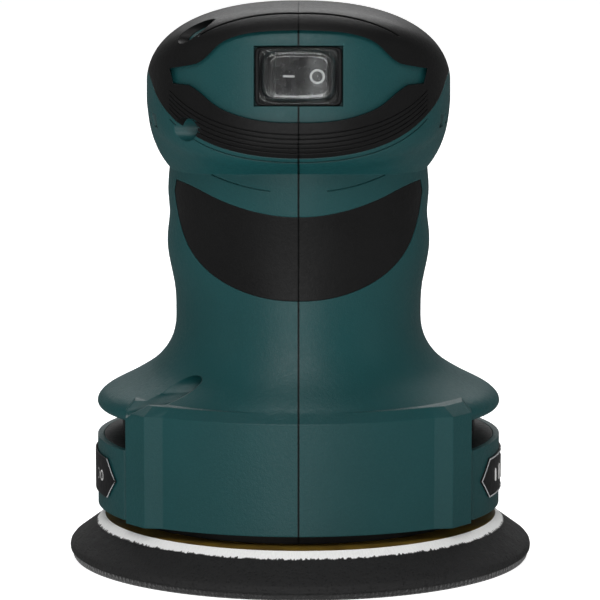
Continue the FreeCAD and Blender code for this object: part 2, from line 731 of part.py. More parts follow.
def bearing(name, bore, outside, width, level, at):
    """A ball bearing: an outer ring, and an inner ring with its balls."""
    inner, outer = bore / 2, outside / 2
    pitch = (inner + outer) / 2
    ball = 0.3 * (outer - inner)
    gap = 0.33 * ball
    x, y = at
    middle = f"{level} + {width / 2}"

    def race(side, low_radius, high_radius, clearance):
        whole = cylinder(f"{name}_{side}_blank", high_radius, width, (x, y, level))
        hole = cylinder(f"{name}_{side}_hole", low_radius, width, (x, y, level))
        track = doc.addObject("Part::Torus", f"{name}_{side}_track")
        track.Radius1 = pitch
        track.Radius2 = ball + clearance
        place(track, (x, y, middle), UP)
        return cut(f"{name}_{side}_ring", whole, hole, track)

    keep(race("outer", pitch + gap * 2, outer, 0.05), name + "_outer")
    pieces = [race("inner", inner, pitch - gap * 2, 0.02)]
    for index in range(8):
        turn = 2 * math.pi * index / 8
        piece = doc.addObject("Part::Sphere", f"{name}_ball")
        piece.Radius = ball
        where = (f"{x} + {pitch * math.cos(turn):.5f}", f"{y} + {pitch * math.sin(turn):.5f}", middle)
        pieces.append(place(piece, where, UP))
    group = doc.addObject("Part::Compound", name + "_inner_group")
    group.Links = pieces
    keep(group, name + "_inner")


bearing("upper_bearing", 7, 19, 6, "upper_bearing_level", ("0", "0"))
bearing("lower_bearing", 12, 28, 8, "lower_bearing_level", ("0", "0"))
bearing("pad_bearing", 12, 28, 8, "pad_bearing_level", ORBIT[:2])

CORE = ("0", "0", "core_bottom")
yoke = cut("yoke", cylinder("yoke_blank", "field_radius", "core_length", CORE),
           cylinder("yoke_hole", "field_radius - 3.8", "core_length", CORE))
shoe_ring = cut("shoe_ring",
                cylinder("shoe_blank", "armature_radius + air_gap + 2.6", "core_length", CORE),
                cylinder("shoe_hole", "armature_radius + air_gap", "core_length", CORE))
shoe_span = block("shoe_span", (60, 32, "core_length"), (-30, -16, "core_bottom"))
shoes = common("pole_shoes", shoe_ring, shoe_span)
necks = cut("pole_necks", block("neck_bar", (51, 12, "core_length"), (-25.5, -6, "core_bottom")),
            cylinder("neck_hole", "armature_radius + air_gap + 1", "core_length", CORE))
keep(fused("field_laminations", yoke, shoes, necks), "field_core")

COIL = ("0", "0", "core_bottom - 4.6")
coil_ring = cut("coil_ring", cylinder("coil_blank", "field_radius - 3.9", "core_length + 9.2", COIL),
                cylinder("coil_hole", "armature_radius + air_gap + 2.7", "core_length + 9.2", COIL))
coil_arcs = common("coil_arcs", coil_ring,
                   block("coil_span", (60, 34, "core_length + 9.2"), (-30, -17, "core_bottom - 4.6")))
keep(cut("coil_pair", coil_arcs, block("coil_window", (60, 12.4, "core_length + 0.4"),
                                       (-30, -6.2, "core_bottom - 0.2"))), "field_coils")

shaft = body("motor_shaft")
turned(shaft, [(0, 27.5), (5, 27.5), (5, 36), (7.5, 36), (7.5, "lower_bearing_level"),
               (6, "lower_bearing_level"), (6, "lower_bearing_level + 8"),
               ("shaft_radius", "lower_bearing_level + 8"), ("shaft_radius", "upper_bearing_level"),
               (3.5, "upper_bearing_level"), (3.5, "upper_bearing_level + 6.4"),
               (0, "upper_bearing_level + 6.4")])

SLOT = [(9.2, -1.1), (14.8, -2.6), (16.2, -0.9), ("armature_radius + 1", -0.9),
        ("armature_radius + 1", 0.9), (16.2, 0.9), (14.8, 2.6), (9.2, 1.1)]
core = body("armature_core", at=CORE)
turned(core, [("shaft_radius", 0), ("armature_radius", 0), ("armature_radius", "core_length"),
              ("shaft_radius", "core_length")])
doc.recompute()
slot = feature(core, "Pocket", outline(sketch(core, "XY_Plane"), SLOT), Type=1, Midplane=True)
doc.recompute()
polar(core, slot, "slot_count")

windings = body("armature_windings", at=CORE)
turned(windings, [(6.2, -0.1), (6.2, -4.6), (15.6, -4.6), (15.6, -0.1)])
doc.recompute()
BUNDLE = [(9.5, -0.9), (14.7, -2.35), (15.3, -1.5), (15.3, 1.5), (14.7, 2.35), (9.5, 0.9)]
wire_bundle = feature(windings, "Pad", outline(sketch(windings, "XY_Plane", "-0.5"), BUNDLE),
                      Length="core_length + 1")
doc.recompute()
polar(windings, wire_bundle, "slot_count")
doc.recompute()
turned(windings, [(6.2, "core_length + 0.1"), (15.6, "core_length + 0.1"), (15.6, "core_length + 4.6"),
                  (6.2, "core_length + 4.6")])

commutator = body("commutator", at=(0, 0, "commutator_bottom"))
turned(commutator, [("shaft_radius", 0), ("commutator_radius + 1.2", 0), ("commutator_radius + 1.2", 1.4),
                    ("commutator_radius", 1.4), ("commutator_radius", "commutator_length"),
                    ("shaft_radius", "commutator_length")])
doc.recompute()
gap_outline = rectangle(sketch(commutator, "XY_Plane"), "commutator_radius - 0.8", "-0.2",
                        "commutator_radius + 2", "0.2")
segment_gap = feature(commutator, "Pocket", gap_outline, Type=1, Midplane=True)
doc.recompute()
polar(commutator, segment_gap, 24)

BRUSH_GUIDE = (6.1, 48, 6.7)
holder_bar = block("holder_bar", (9, 50, 8.4), (-4.5, -25, "brush_level - 4.2"))
keep(cut("holder_pair", holder_bar,
         block("brush_guide", BRUSH_GUIDE, (-3.05, -24, "brush_level - 3.35")),
         cylinder("holder_clearance", "commutator_radius + 1.8", 20, (0, 0, "brush_level - 10"))),
     "brush_holders")
keep(cut("brush_pair", block("brush_bar", (5.9, 36, 6.5), (-2.95, -18, "brush_level - 3.25")),
         cylinder("brush_face", "commutator_radius + 0.08", 20, (0, 0, "brush_level - 10"))),
     "carbon_brushes")


def coil_spring(radius, wire, pitch, near, far, level):
    """A helical spring along +Y."""
    path = Part.makeHelix(pitch, far - near, radius)
    section = Part.Wire(Part.makeCircle(wire, Vector(radius, 0, 0), Vector(0, 1, 0)))
    coil = Part.Wire(path.Edges).makePipeShell([section], True, True)
    coil.Placement = Placement(Vector(0, near, level), ALONG_Y)
    return coil


BRUSH_BACK, CAP_INSIDE = 18.3, 23.6
rear_spring = coil_spring(2.2, 0.3, 1.25, BRUSH_BACK, CAP_INSIDE, size("brush_level"))
front_spring = rear_spring.translated(Vector(0, -BRUSH_BACK - CAP_INSIDE, 0))
shaped("brush_springs", Part.makeCompound([rear_spring, front_spring]))

keep(block("capacitor_can", (17, 9, 13), (-8.5, 4, 124)), "suppression_capacitor")


# ---- Fan, eccentric and pad ----

fan = body("fan", at=(0, 0, "fan_level"))
turned(fan, [(9.05, -1.5), (13, -1.5), (13, 0), ("fan_radius", 0), ("fan_radius", 1.5), (13, 1.5),
             (13, 4.4), (9.05, 4.4)])
doc.recompute()
upper_blade = feature(fan, "Pad", rectangle(sketch(fan, "XY_Plane", 1), 22, -0.6, "fan_radius", 0.6),
                      Length="5.8")
doc.recompute()
polar(fan, upper_blade, "blade_count")
doc.recompute()
lower_blade = feature(fan, "Pad", rectangle(sketch(fan, "XY_Plane", 0.5), 34.5, -0.6, "fan_radius",
                                            0.6), Length="6", Reversed=True)
doc.recompute()
polar(fan, lower_blade, "blade_count")

x_orbit, y_orbit, _ = ORBIT
cup = cylinder("eccentric_cup", 17, 11.2, (x_orbit, y_orbit, 15.8))
collar = cylinder("eccentric_collar", 9, 7, (0, 0, 27))
keep(cut("eccentric", fused("eccentric_blank", cup, collar),
         cylinder("bearing_pocket", 14, 8.9, (x_orbit, y_orbit, 15.75)),
         cylinder("spindle_room", 8, 2, (x_orbit, y_orbit, 24)),
         cylinder("shaft_bore", 5, 10, (0, 0, 27.5))), "eccentric_hub")

weight_ring = cut("weight_ring", cylinder("weight_blank", 33, "fan_level - 18", (0, 0, 18)),
                  cylinder("weight_hole", 20, "fan_level - 18", (0, 0, 18)))
weight_span = block("weight_span", (40, 50, "fan_level - 18"), (0, 0, 18),
                    Rotation(Vector(0, 0, 1), 180 + math.degrees(ORBIT_TURN)))
across_turn = math.radians(90 + math.degrees(ORBIT_TURN))
weight_corner = Vector(25 * math.cos(across_turn) - 8 * math.cos(ORBIT_TURN),
                       25 * math.sin(across_turn) - 8 * math.sin(ORBIT_TURN), 0)
weight_span.setExpression("Placement.Base.x", f"{weight_corner.x:.4f}")
weight_span.setExpression("Placement.Base.y", f"{weight_corner.y:.4f}")
keep(common("weight_sector", weight_ring, weight_span), "counterweight")

DISC_HOLES = ("dust_hole", ("dust_circle", 0), "dust_count")


def drilled(owner, *patterns):
    """Rings of through holes: (radius, place of the first one, how many)."""
    for radius, first, count in patterns:
        doc.recompute()
        hole = feature(owner, "Pocket", circle(sketch(owner, "XY_Plane"), radius, first), Type=1,
                       Midplane=True)
        doc.recompute()
        polar(owner, hole, count)


hook_face = body("hook_face", at=ORBIT)
turned(hook_face, [(0, 0), ("hook_radius - 0.3", 0), ("hook_radius", 0.4), ("hook_radius", "hook_thick"),
                   (0, "hook_thick")])
drilled(hook_face, DISC_HOLES, (3.8, ("screw_circle", 0), 4))

foam = body("pad_foam", at=ORBIT)
turned(foam, [(0, "hook_thick"), ("hook_radius", "hook_thick"), ("pad_radius - 0.1", 2.1),
              ("pad_radius", 2.9), ("pad_radius - 0.2", 3.8), ("pad_radius - 0.9", 4.7),
              ("foam_top_radius", "foam_top"), (0, "foam_top")])
drilled(foam, DISC_HOLES, (3.8, ("screw_circle", 0), 4))

plate = body("pad_plate", at=ORBIT)
turned(plate, [(0, "foam_top"), ("foam_top_radius", "foam_top"), ("plate_radius", "plate_top"),
               (0, "plate_top")])
drilled(plate, DISC_HOLES, (1.7, ("screw_circle", 0), 4))

spindle = body("pad_spindle", at=ORBIT)
turned(spindle, [(0, "plate_top"), (19, "plate_top"), (19, "plate_top + 2.4"), (8, "plate_top + 3.4"),
                 (8, "pad_bearing_level"), (6, "pad_bearing_level"), (6, "pad_bearing_level + 8.4"),
                 (0, "pad_bearing_level + 8.4")])
drilled(spindle, (1.62, ("screw_circle", 0), 4))


def screw(name, head_radius, head_length, shank_radius, shank_length, at, turn):
    """A pan head screw along its own Z, its head below the placement point, with a socket."""
    head = cylinder(name + "_head", head_radius, head_length)
    shank = cylinder(name + "_shank", shank_radius, f"{head_length} + {shank_length}")
    socket = doc.addObject("Part::Prism", name + "_socket")
    socket.Polygon = 6
    socket.setExpression("Circumradius", linked(f"{head_radius} * 0.5"))
    socket.setExpression("Height", linked(f"{head_length} * 0.6"))
    return place(cut(name, fused(name + "_blank", head, shank), socket), at, turn)


def screw_group(label, screws):
    group = doc.addObject("Part::Compound", label + "_group")
    group.Links = screws
    keep(group, label)


pad_screws = []
for index in range(4):
    turn = math.pi * index / 2
    where = (f"{ORBIT[0]} + screw_circle * {math.cos(turn):.0f}",
             f"{ORBIT[1]} + screw_circle * {math.sin(turn):.0f}", "foam_top - 3")
    pad_screws.append(screw("pad_screw", 3.5, 3, 1.6, 4.6, where, UP))
screw_group("pad_screws", pad_screws)

case_screws = []
for along, level, boss in SCREW_PLACES:
    where = (f"{-SCREW_SEAT - 2.4} - seam", along, level)
    case_screws.append(screw("case_screw", "screw_head", 2.4, "screw_radius - 0.05", SCREW_SEAT + SCREW_TIP,
                             where, ALONG_X))
screw_group("housing_screws", case_screws)


# ======== Switch ========

FACE = (0, "-face_front", "face_level")
FACE_TURN = Rotation(Vector(1, 0, 0), 90 - size("face_tilt"))
PIVOT_DEPTH = 6.0

switch_body = body("switch_body", at=FACE, turn=FACE_TURN)
feature(switch_body, "Pad", rectangle(sketch(switch_body, "XY_Plane", -22), -9.5, -6.5, 9.5, 6.5),
        Length="17")
doc.recompute()
feature(switch_body, "Pad", rectangle(sketch(switch_body, "XY_Plane", -5.7), -10.5, -7.5, 10.5, 7.5),
        Length="1.7")
doc.recompute()
feature(switch_body, "Pocket", rectangle(sketch(switch_body, "XY_Plane", -4), -7.9, -5.6, 7.9, 5.6),
        Length="8.5")
doc.recompute()
feature(switch_body, "Pocket", circle(sketch(switch_body, "XZ_Plane"), 1.06, (0, -PIVOT_DEPTH)), Length="12.6",
        Midplane=True)

pivot = face_placement(-PIVOT_DEPTH)
rocker_turn = FACE_TURN.multiply(Rotation(Vector(0, 1, 0), size("rocker_swing") / 2))
rocker = body("switch_rocker", at=tuple(f"{value:.4f}" for value in pivot.Base), turn=rocker_turn)
ROCKER_HALF, DISH_LOW, DISH_RISE, DISH_STEPS = 6.9, 2.4, 1.4, 5
dish = [(ROCKER_HALF * step / DISH_STEPS, DISH_LOW + DISH_RISE * (step / DISH_STEPS) ** 2)
        for step in range(DISH_STEPS, -DISH_STEPS - 1, -1)]
rocker_sides = [(-ROCKER_HALF, 2.6), (-6.2, -2.4), (6.2, -2.4), (ROCKER_HALF, 2.6)]
feature(rocker, "Pad", outline(sketch(rocker, "XZ_Plane"), dish + rocker_sides), Length="10.4",
        Midplane=True)
doc.recompute()
feature(rocker, "Pad", circle(sketch(rocker, "XZ_Plane"), 1.0), Length="12.2", Midplane=True)


def rounded_rectangle(half_width, half_height, corner, level):
    """A level rectangle with round corners, centred on the Z axis."""
    edges = []
    for turn in range(4):
        wide, tall = (half_width, half_height) if turn % 2 == 0 else (half_height, half_width)
        start, stop = Vector(wide, -tall + corner, level), Vector(wide, tall - corner, level)
        centre = Vector(wide - corner, tall - corner, level)
        reach = corner * math.sqrt(0.5)
        end = Vector(wide - corner, tall, level)
        round_end = Part.Arc(stop, centre + Vector(reach, reach, 0), end).toShape()
        pieces = [Part.makeLine(start, stop), round_end]
        edges += [piece.rotated(Vector(), Vector(0, 0, 1), 90 * turn) for piece in pieces]
    return Part.Wire(edges)


def tapered(half_width, half_height, corner, low, high, taper):
    """A block with round upright edges that draws in towards its top."""
    foot = rounded_rectangle(half_width, half_height, corner, low)
    head = rounded_rectangle(half_width - taper, half_height - taper, corner, high)
    return Part.makeLoft([foot, head], True, True)


def dust_boot():
    """The clear cover over the rocker, with a flange that sits on the switch's bezel."""
    flange = tapered(11.1, 7.5, 1.5, -3.95, -3.1, 0.0)
    dome = tapered(10.0, 7.1, 2.0, -3.5, 0.9, 0.7)
    room = tapered(9.3, 6.4, 1.6, -4.5, 0.2, 0.7)
    return flange.fuse(dome).cut(room).transformed(face_placement().Matrix, copy=True)


def terminals():
    """The switch's two blades."""
    blades = []
    for across in (-4.8, 4.0):
        blade = Part.makeBox(0.8, 4.8, 8, Vector(across, -2.4, -30))
        blade.Placement = face_placement()
        blades.append(blade)
    return Part.makeCompound(blades)


shaped("switch_boot", dust_boot())
shaped("switch_terminals", terminals())


# ======== Dust box ========

def round_along_y(shape, radius):
    """Rounds the edges that run along Y."""
    edges = [e for e in shape.Edges if abs(e.Vertexes[0].Y - e.Vertexes[-1].Y) > 0.5]
    return shape.makeFillet(radius, edges)


def box_profile(inset, front, rear):
    """Side outline of the dust box, drawn in by an inset, as a face in the seam plane."""
    low, high = size("box_bottom") + inset, size("box_top") - inset
    corners = [(front, low), (rear, low), (rear, high - 9), (rear - 15, high), (front + 4, high),
               (front, high - 7)]
    points = [Vector(0, along, level) for along, level in corners]
    return Part.Face(Part.makePolygon(points + points[:1]))


def box_solid(inset, front, rear, corner):
    """The dust box's outline carried across, with round edges along its sides."""
    half = size("box_half") - inset
    solid = box_profile(inset, front, rear).extrude(Vector(2 * half, 0, 0)).translated(Vector(-half, 0, 0))
    edges = [e for e in solid.Edges if not all(abs(v.Y - rear) < 0.01 for v in e.Vertexes)]
    return solid.makeFillet(corner, edges)


def dust_box():
    """The open-ended bin with the collar that slides over the dust outlet."""
    front, rear, wall, fit = (size(name) for name in ("box_front", "box_rear", "box_wall", "fit"))
    bin_shape = box_solid(0, front, rear, 4.5).cut(box_solid(wall, front + wall, rear + 1, 3.0))
    half_width, half_tall = size("port_width / 2") + fit - 0.1, size("port_tall / 2") + fit - 0.1
    level = size("port_level")
    depth = size("port_end") - front + 1
    collar = slab((-half_width - 1.5, front, level - half_tall - 1.5),
                  (half_width + 1.5, front + depth, level + half_tall + 1.5))
    hole = slab((-half_width, front - 1, level - half_tall),
                (half_width, front + depth + 1, level + half_tall))
    return bin_shape.fuse(collar).cut(hole)


def dust_lid():
    """The rear cover with a rim that plugs the bin."""
    rear, wall, fit = (size(name) for name in ("box_rear", "box_wall", "fit"))
    half = size("box_half")
    low, high = size("box_bottom"), size("box_top")
    plate_shape = slab((-half, rear + 0.9, low), (half, rear + 5.5, high - 9))
    plate_shape = round_along_y(plate_shape, 4.4)
    edges = [e for e in plate_shape.Edges if all(v.Y > rear + 5.4 for v in e.Vertexes)]
    plate_shape = plate_shape.makeFillet(2.0, edges)
    rim_in, rim_out = wall + fit + 1.6, wall + fit
    rim_top = high - 9 - 1.5
    rim = slab((-half + rim_out, rear - 7, low + rim_out), (half - rim_out, rear + 1.5, rim_top - rim_out))
    room = slab((-half + rim_in, rear - 8, low + rim_in), (half - rim_in, rear + 0.9, rim_top - rim_in))
    return plate_shape.fuse(round_along_y(rim, 3.0).cut(round_along_y(room, 1.6)))


def lid_seal():
    """A flat rubber frame between the lid and the bin's edge."""
    rear, half = size("box_rear"), size("box_half")
    low, high = size("box_bottom"), size("box_top") - 9
    rim = size("box_wall") + size("fit")
    outside = slab((-half + 0.4, rear + 0.1, low + 0.4), (half - 0.4, rear + 0.85, high - 0.4))
    inside = slab((-half + rim - 0.2, rear - 1, low + rim - 0.2),
                  (half - rim + 0.2, rear + 2, high - rim - 1.3))
    return round_along_y(outside, 4.0).cut(round_along_y(inside, 3.0))


def pleated_filter():
    """Folded paper behind the lid: a zigzag in plan with an even thickness."""
    half, near, far = 26.0, size("box_rear") - 22, size("box_rear") + 0.4
    folds, paper = 22, 1.2
    step = 2 * half / folds
    edge = [Vector(-half + step * k, near if k % 2 else far - paper, 0) for k in range(folds + 1)]
    back_edge = [p + Vector(0, paper, 0) for p in reversed(edge)]
    low = size("box_bottom") + 6
    points = [p + Vector(0, 0, low) for p in edge + back_edge]
    return Part.Face(Part.makePolygon(points + points[:1])).extrude(Vector(0, 0, size("box_top") - 20 - low))


shaped("dust_box", dust_box())
shaped("dust_box_lid", dust_lid())
shaped("lid_seal", lid_seal())
shaped("dust_filter", pleated_filter())

# ======== Checks and export ========

doc.recompute()
for thing in doc.Objects:
    if {"Invalid", "Error"} & set(thing.State):
        raise RuntimeError(f"{thing.Label}: {thing.State}")
for label, thing in parts.items():
    if thing.Shape.isNull() or not thing.Shape.isValid():
        raise RuntimeError(f"{label} has no valid shape")
os.makedirs("parts", exist_ok=True)
for label, thing in parts.items():
    thing.Shape.exportStep(f"parts/{label}.step")
print(len(parts), "parts")
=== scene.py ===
import json
import math

import bmesh
import bpy
import numpy as np
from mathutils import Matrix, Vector


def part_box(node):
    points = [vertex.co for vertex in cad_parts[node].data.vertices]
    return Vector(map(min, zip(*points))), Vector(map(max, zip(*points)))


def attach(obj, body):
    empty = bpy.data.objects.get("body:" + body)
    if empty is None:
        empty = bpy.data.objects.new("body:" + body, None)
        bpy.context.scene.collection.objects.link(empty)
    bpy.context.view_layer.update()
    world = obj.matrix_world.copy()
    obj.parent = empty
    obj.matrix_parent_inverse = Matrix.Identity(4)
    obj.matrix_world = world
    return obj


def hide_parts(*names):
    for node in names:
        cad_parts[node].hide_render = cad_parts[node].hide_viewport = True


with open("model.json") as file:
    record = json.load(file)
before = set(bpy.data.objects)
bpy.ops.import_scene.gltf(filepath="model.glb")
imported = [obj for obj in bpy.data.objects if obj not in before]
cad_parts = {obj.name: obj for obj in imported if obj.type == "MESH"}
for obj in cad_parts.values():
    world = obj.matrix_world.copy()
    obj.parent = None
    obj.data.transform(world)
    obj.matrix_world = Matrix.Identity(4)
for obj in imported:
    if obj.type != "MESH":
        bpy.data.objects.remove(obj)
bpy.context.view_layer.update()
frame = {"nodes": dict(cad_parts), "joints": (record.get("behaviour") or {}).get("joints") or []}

nodes = frame["nodes"]
print("stage 1: the CAD frame is loaded,", len(nodes), "nodes")

mm = 0.001


def centreOf(nodeName):
    # Middle of a node's box
    low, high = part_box(nodeName)
    return (np.array(low) + np.array(high)) / 2


padCentre = centreOf("pad_foam")


def addNode(tree, kind, sockets=None, **settings):
    # One shader node; a socket takes a plain value or another node's output
    made = tree.nodes.new("ShaderNode" + kind)
    for key, value in settings.items():
        setattr(made, key, value)
    for key, value in (sockets or {}).items():
        if isinstance(value, bpy.types.NodeSocket):
            tree.links.new(value, made.inputs[key])
        else:
            made.inputs[key].default_value = value
    return made


def rgba(color):
    return (*color, 1.0)


def mixColor(tree, factor, first, second, blend="MIX"):
    # Sockets 6 and 7 are the two colours of a Mix node, and its output 2 is the colour
    colors = {6: rgba(first) if isinstance(first, tuple) else first,
              7: rgba(second) if isinstance(second, tuple) else second, 0: factor}
    return addNode(tree, "Mix", colors, data_type="RGBA", blend_type=blend).outputs[2]


def spread(tree, value, low, high, fromLow=0.35, fromHigh=0.65):
    # A noise value stretched to a range
    sockets = {"Value": value, "From Min": fromLow, "From Max": fromHigh, "To Min": low, "To Max": high}
    return addNode(tree, "MapRange", sockets).outputs[0]


def noise(tree, coords, scale, detail=2.0, roughness=0.5):
    sockets = {"Vector": coords, "Scale": scale, "Detail": detail, "Roughness": roughness}
    return addNode(tree, "TexNoise", sockets).outputs[0]


def calc(tree, operation, first, second=0.0):
    return addNode(tree, "Math", {0: first, 1: second}, operation=operation).outputs[0]


def blank(name, metallic=0.0, specular=0.5, sheen=0.0, coat=0.0, coatRoughness=0.1):
    # A new material; what is the same all over it is set on its shader
    material = bpy.data.materials.new(name)
    material.use_nodes = True
    tree = material.node_tree
    shader = tree.nodes["Principled BSDF"]
    shader.inputs["Metallic"].default_value = metallic
    shader.inputs["Specular IOR Level"].default_value = specular
    shader.inputs["Sheen Weight"].default_value = sheen
    shader.inputs["Sheen Roughness"].default_value = 0.6
    shader.inputs["Coat Weight"].default_value = coat
    shader.inputs["Coat Roughness"].default_value = coatRoughness
    coords = addNode(tree, "TexCoord").outputs["Object"]
    return material, tree, shader, coords


def softEdges(tree, radius):
    # Normals that round every hard edge by a radius, and how much of an edge a point is
    rounded = addNode(tree, "Bevel", {"Radius": radius}, samples=6).outputs[0]
    plain = addNode(tree, "NewGeometry").outputs["Normal"]
    likeness = addNode(tree, "VectorMath", {0: rounded, 1: plain}, operation="DOT_PRODUCT").outputs["Value"]
    edge = spread(tree, likeness, 1.0, 0.0, 0.80, 0.995)
    return rounded, edge


seamShadeWidth = (0.20 * mm, 0.33 * mm)  # from the parting line: painted shade and dust up to the first, none past the second


def grained(name, look):
    # Moulded or cast skin: slow colour drift, a fine grain in colour, gloss and height, worn edges
    material, tree, shader, coords = blank(name, look.get("metallic", 0.0), look.get("specular", 0.5),
                                           coat=look.get("coat", 0.0))
    drift = noise(tree, coords, look.get("driftScale", 40.0), 3.0)
    fine = noise(tree, coords, look["grainScale"], 3.0, 0.6)
    speck = noise(tree, coords, look["grainScale"] * 0.37, 1.0)
    color = mixColor(tree, spread(tree, drift, 0.0, 1.0), look["color"], look["shade"])
    color = mixColor(tree, spread(tree, fine, 0.0, look.get("fleck", 0.25), 0.45, 0.75), color,
                     look.get("fleckColor", look["shade"]))
    normal, edge = softEdges(tree, look.get("edgeRadius", 0.35 * mm))
    color = mixColor(tree, calc(tree, "MULTIPLY", edge, look.get("wear", 0.25)), color, look["wearColor"])
    if "seamShadeAndDust" in look:
        # Painted shade of the seam gap, with dust, darkens the parting line, where x is nearly 0
        across = calc(tree, "ABSOLUTE", addNode(tree, "SeparateXYZ", {0: coords}).outputs[0])
        color = mixColor(tree, spread(tree, across, 1.0, 0.0, *seamShadeWidth), color, look["seamShadeAndDust"])
    smooth, rough = look["roughness"]
    gloss = spread(tree, calc(tree, "ADD", calc(tree, "MULTIPLY", drift, 0.5),
                              calc(tree, "MULTIPLY", speck, 0.5)), smooth, rough)
    height = calc(tree, "ADD", fine, calc(tree, "MULTIPLY", speck, 0.8))
    bump = addNode(tree, "Bump", {"Height": height, "Distance": look["grainDepth"],
                                  "Normal": normal}).outputs[0]
    tree.links.new(color, shader.inputs["Base Color"])
    tree.links.new(gloss, shader.inputs["Roughness"])
    tree.links.new(bump, shader.inputs["Normal"])
    return material


def brushed(name, look):
    # Turned or ground metal: fine lines round the Z axis or along it, with faint stains
    material, tree, shader, coords = blank(name, metallic=1.0)
    stretch = addNode(tree, "Mapping", {"Vector": coords, "Scale": look["stretch"]}).outputs[0]
    lines = noise(tree, stretch, look["grainScale"], 4.0, 0.7)
    stain = noise(tree, coords, 120.0, 3.0)
    color = mixColor(tree, spread(tree, lines, 0.0, 1.0, 0.3, 0.7), look["color"], look["shade"])
    color = mixColor(tree, spread(tree, stain, 0.0, 0.35), color, look["stainColor"])
    smooth, rough = look["roughness"]
    normal, _ = softEdges(tree, 0.2 * mm)
    bump = addNode(tree, "Bump", {"Height": lines, "Distance": look["grainDepth"],
                                  "Normal": normal}).outputs[0]
    tree.links.new(color, shader.inputs["Base Color"])
    tree.links.new(spread(tree, lines, smooth, rough, 0.3, 0.7), shader.inputs["Roughness"])
    tree.links.new(bump, shader.inputs["Normal"])
    return material


def roundAxis(tree, coords, centre):
    # Angle and height of a point round an upright axis
    toCentre = (-centre[0], -centre[1], 0.0)
    shifted = addNode(tree, "Mapping", {"Vector": coords, "Location": toCentre}).outputs[0]
    x, y, z = addNode(tree, "SeparateXYZ", {0: shifted}).outputs
    return calc(tree, "ARCTAN2", y, x), z


greenShell = {
    "color": (0.0052, 0.0500, 0.0530), "shade": (0.0040, 0.0440, 0.0465),
    "fleckColor": (0.014, 0.075, 0.078), "fleck": 0.30, "wearColor": (0.030, 0.100, 0.103), "wear": 0.22,
    # The parting-line colour in this look is painted shade of the seam gap, mixed with dust
    "seamShadeAndDust": (0.0010, 0.0040, 0.0042), "roughness": (0.40, 0.50), "grainScale": 2600.0,
    "grainDepth": 0.05 * mm, "specular": 0.30, "driftScale": 28.0, "edgeRadius": 0.5 * mm,
}
gripRubber = {
    "color": (0.0042, 0.0042, 0.0043), "shade": (0.0055, 0.0055, 0.0056), "fleckColor": (0.013, 0.013, 0.013),
    "fleck": 0.35, "wearColor": (0.022, 0.022, 0.023), "wear": 0.25, "roughness": (0.42, 0.52),
    "grainScale": 3200.0, "grainDepth": 0.035 * mm, "specular": 0.15, "edgeRadius": 0.4 * mm,
    # The parting-line colour in this look is painted shade of the seam gap, mixed with dust
    "seamShadeAndDust": (0.0010, 0.0010, 0.0010),
}
neckRubber = dict(gripRubber, color=(0.0055, 0.0055, 0.0056), shade=(0.0070, 0.0070, 0.0071),
                  grainScale=2100.0, grainDepth=0.06 * mm)
blackNylon = {
    "specular": 0.2, "color": (0.0075, 0.0075, 0.0079), "shade": (0.0055, 0.0055, 0.0058),
    "fleckColor": (0.020, 0.020, 0.021),
    "fleck": 0.35, "wearColor": (0.05, 0.05, 0.052), "wear": 0.35, "roughness": (0.42, 0.55),
    "grainScale": 2400.0, "grainDepth": 0.04 * mm,
}
boxNylon = dict(blackNylon, color=(0.0190, 0.0192, 0.0200), grainScale=1900.0, grainDepth=0.06 * mm,
                edgeRadius=0.7 * mm)
rockerGloss = {
    "color": (0.0060, 0.0060, 0.0066), "shade": (0.0090, 0.0090, 0.0096), "fleckColor": (0.016, 0.016, 0.017),
    "fleck": 0.2, "wearColor": (0.06, 0.06, 0.062), "wear": 0.5, "roughness": (0.22, 0.32),
    "grainScale": 1500.0, "grainDepth": 0.012 * mm, "coat": 0.15, "edgeRadius": 0.4 * mm,
}
badgeGloss = dict(rockerGloss, color=(0.0045, 0.0045, 0.0050), roughness=(0.34, 0.46), edgeRadius=0.2 * mm,
                  specular=0.12, coat=0.0)
sealRubber = dict(gripRubber, color=(0.013, 0.013, 0.013), roughness=(0.6, 0.75), grainScale=900.0)
carbonBlock = dict(gripRubber, color=(0.02, 0.02, 0.021), roughness=(0.35, 0.55), grainScale=1500.0)
castAlloy = {
    "color": (0.42, 0.42, 0.43), "shade": (0.33, 0.33, 0.34), "fleckColor": (0.55, 0.55, 0.56), "fleck": 0.5,
    "wearColor": (0.7, 0.7, 0.71), "wear": 0.5, "roughness": (0.38, 0.6), "metallic": 1.0,
    "grainScale": 700.0, "grainDepth": 0.08 * mm,
}
castIron = dict(castAlloy, color=(0.16, 0.16, 0.165), shade=(0.11, 0.11, 0.115),
                fleckColor=(0.25, 0.25, 0.25))
ballSteel = {
    "color": (0.62, 0.63, 0.65), "shade": (0.48, 0.49, 0.51), "stainColor": (0.40, 0.40, 0.41),
    "roughness": (0.12, 0.28), "stretch": (1.0, 1.0, 30.0), "grainScale": 300.0, "grainDepth": 0.004 * mm,
}
zincPlate = dict(ballSteel, color=(0.50, 0.51, 0.50), shade=(0.38, 0.39, 0.39), roughness=(0.25, 0.42))
sheetStack = dict(ballSteel, color=(0.30, 0.31, 0.33), shade=(0.15, 0.155, 0.165), roughness=(0.35, 0.55),
                  stretch=(1.0, 1.0, 90.0), grainScale=22.0, grainDepth=0.06 * mm)
copperWire = dict(ballSteel, color=(0.55, 0.21, 0.08), shade=(0.30, 0.10, 0.035),
                  stainColor=(0.42, 0.15, 0.05), roughness=(0.22, 0.42), stretch=(1.0, 1.0, 40.0),
                  grainScale=70.0, grainDepth=0.12 * mm)
brassSheet = dict(ballSteel, color=(0.62, 0.44, 0.17), shade=(0.48, 0.33, 0.12),
                  stainColor=(0.38, 0.25, 0.09), roughness=(0.25, 0.4))
filterPaper = {
    "color": (0.72, 0.69, 0.58), "shade": (0.62, 0.58, 0.47), "fleckColor": (0.80, 0.78, 0.70), "fleck": 0.5,
    "wearColor": (0.8, 0.78, 0.7), "wear": 0.2, "roughness": (0.8, 0.95), "grainScale": 1300.0,
    "grainDepth": 0.08 * mm, "specular": 0.2,
}
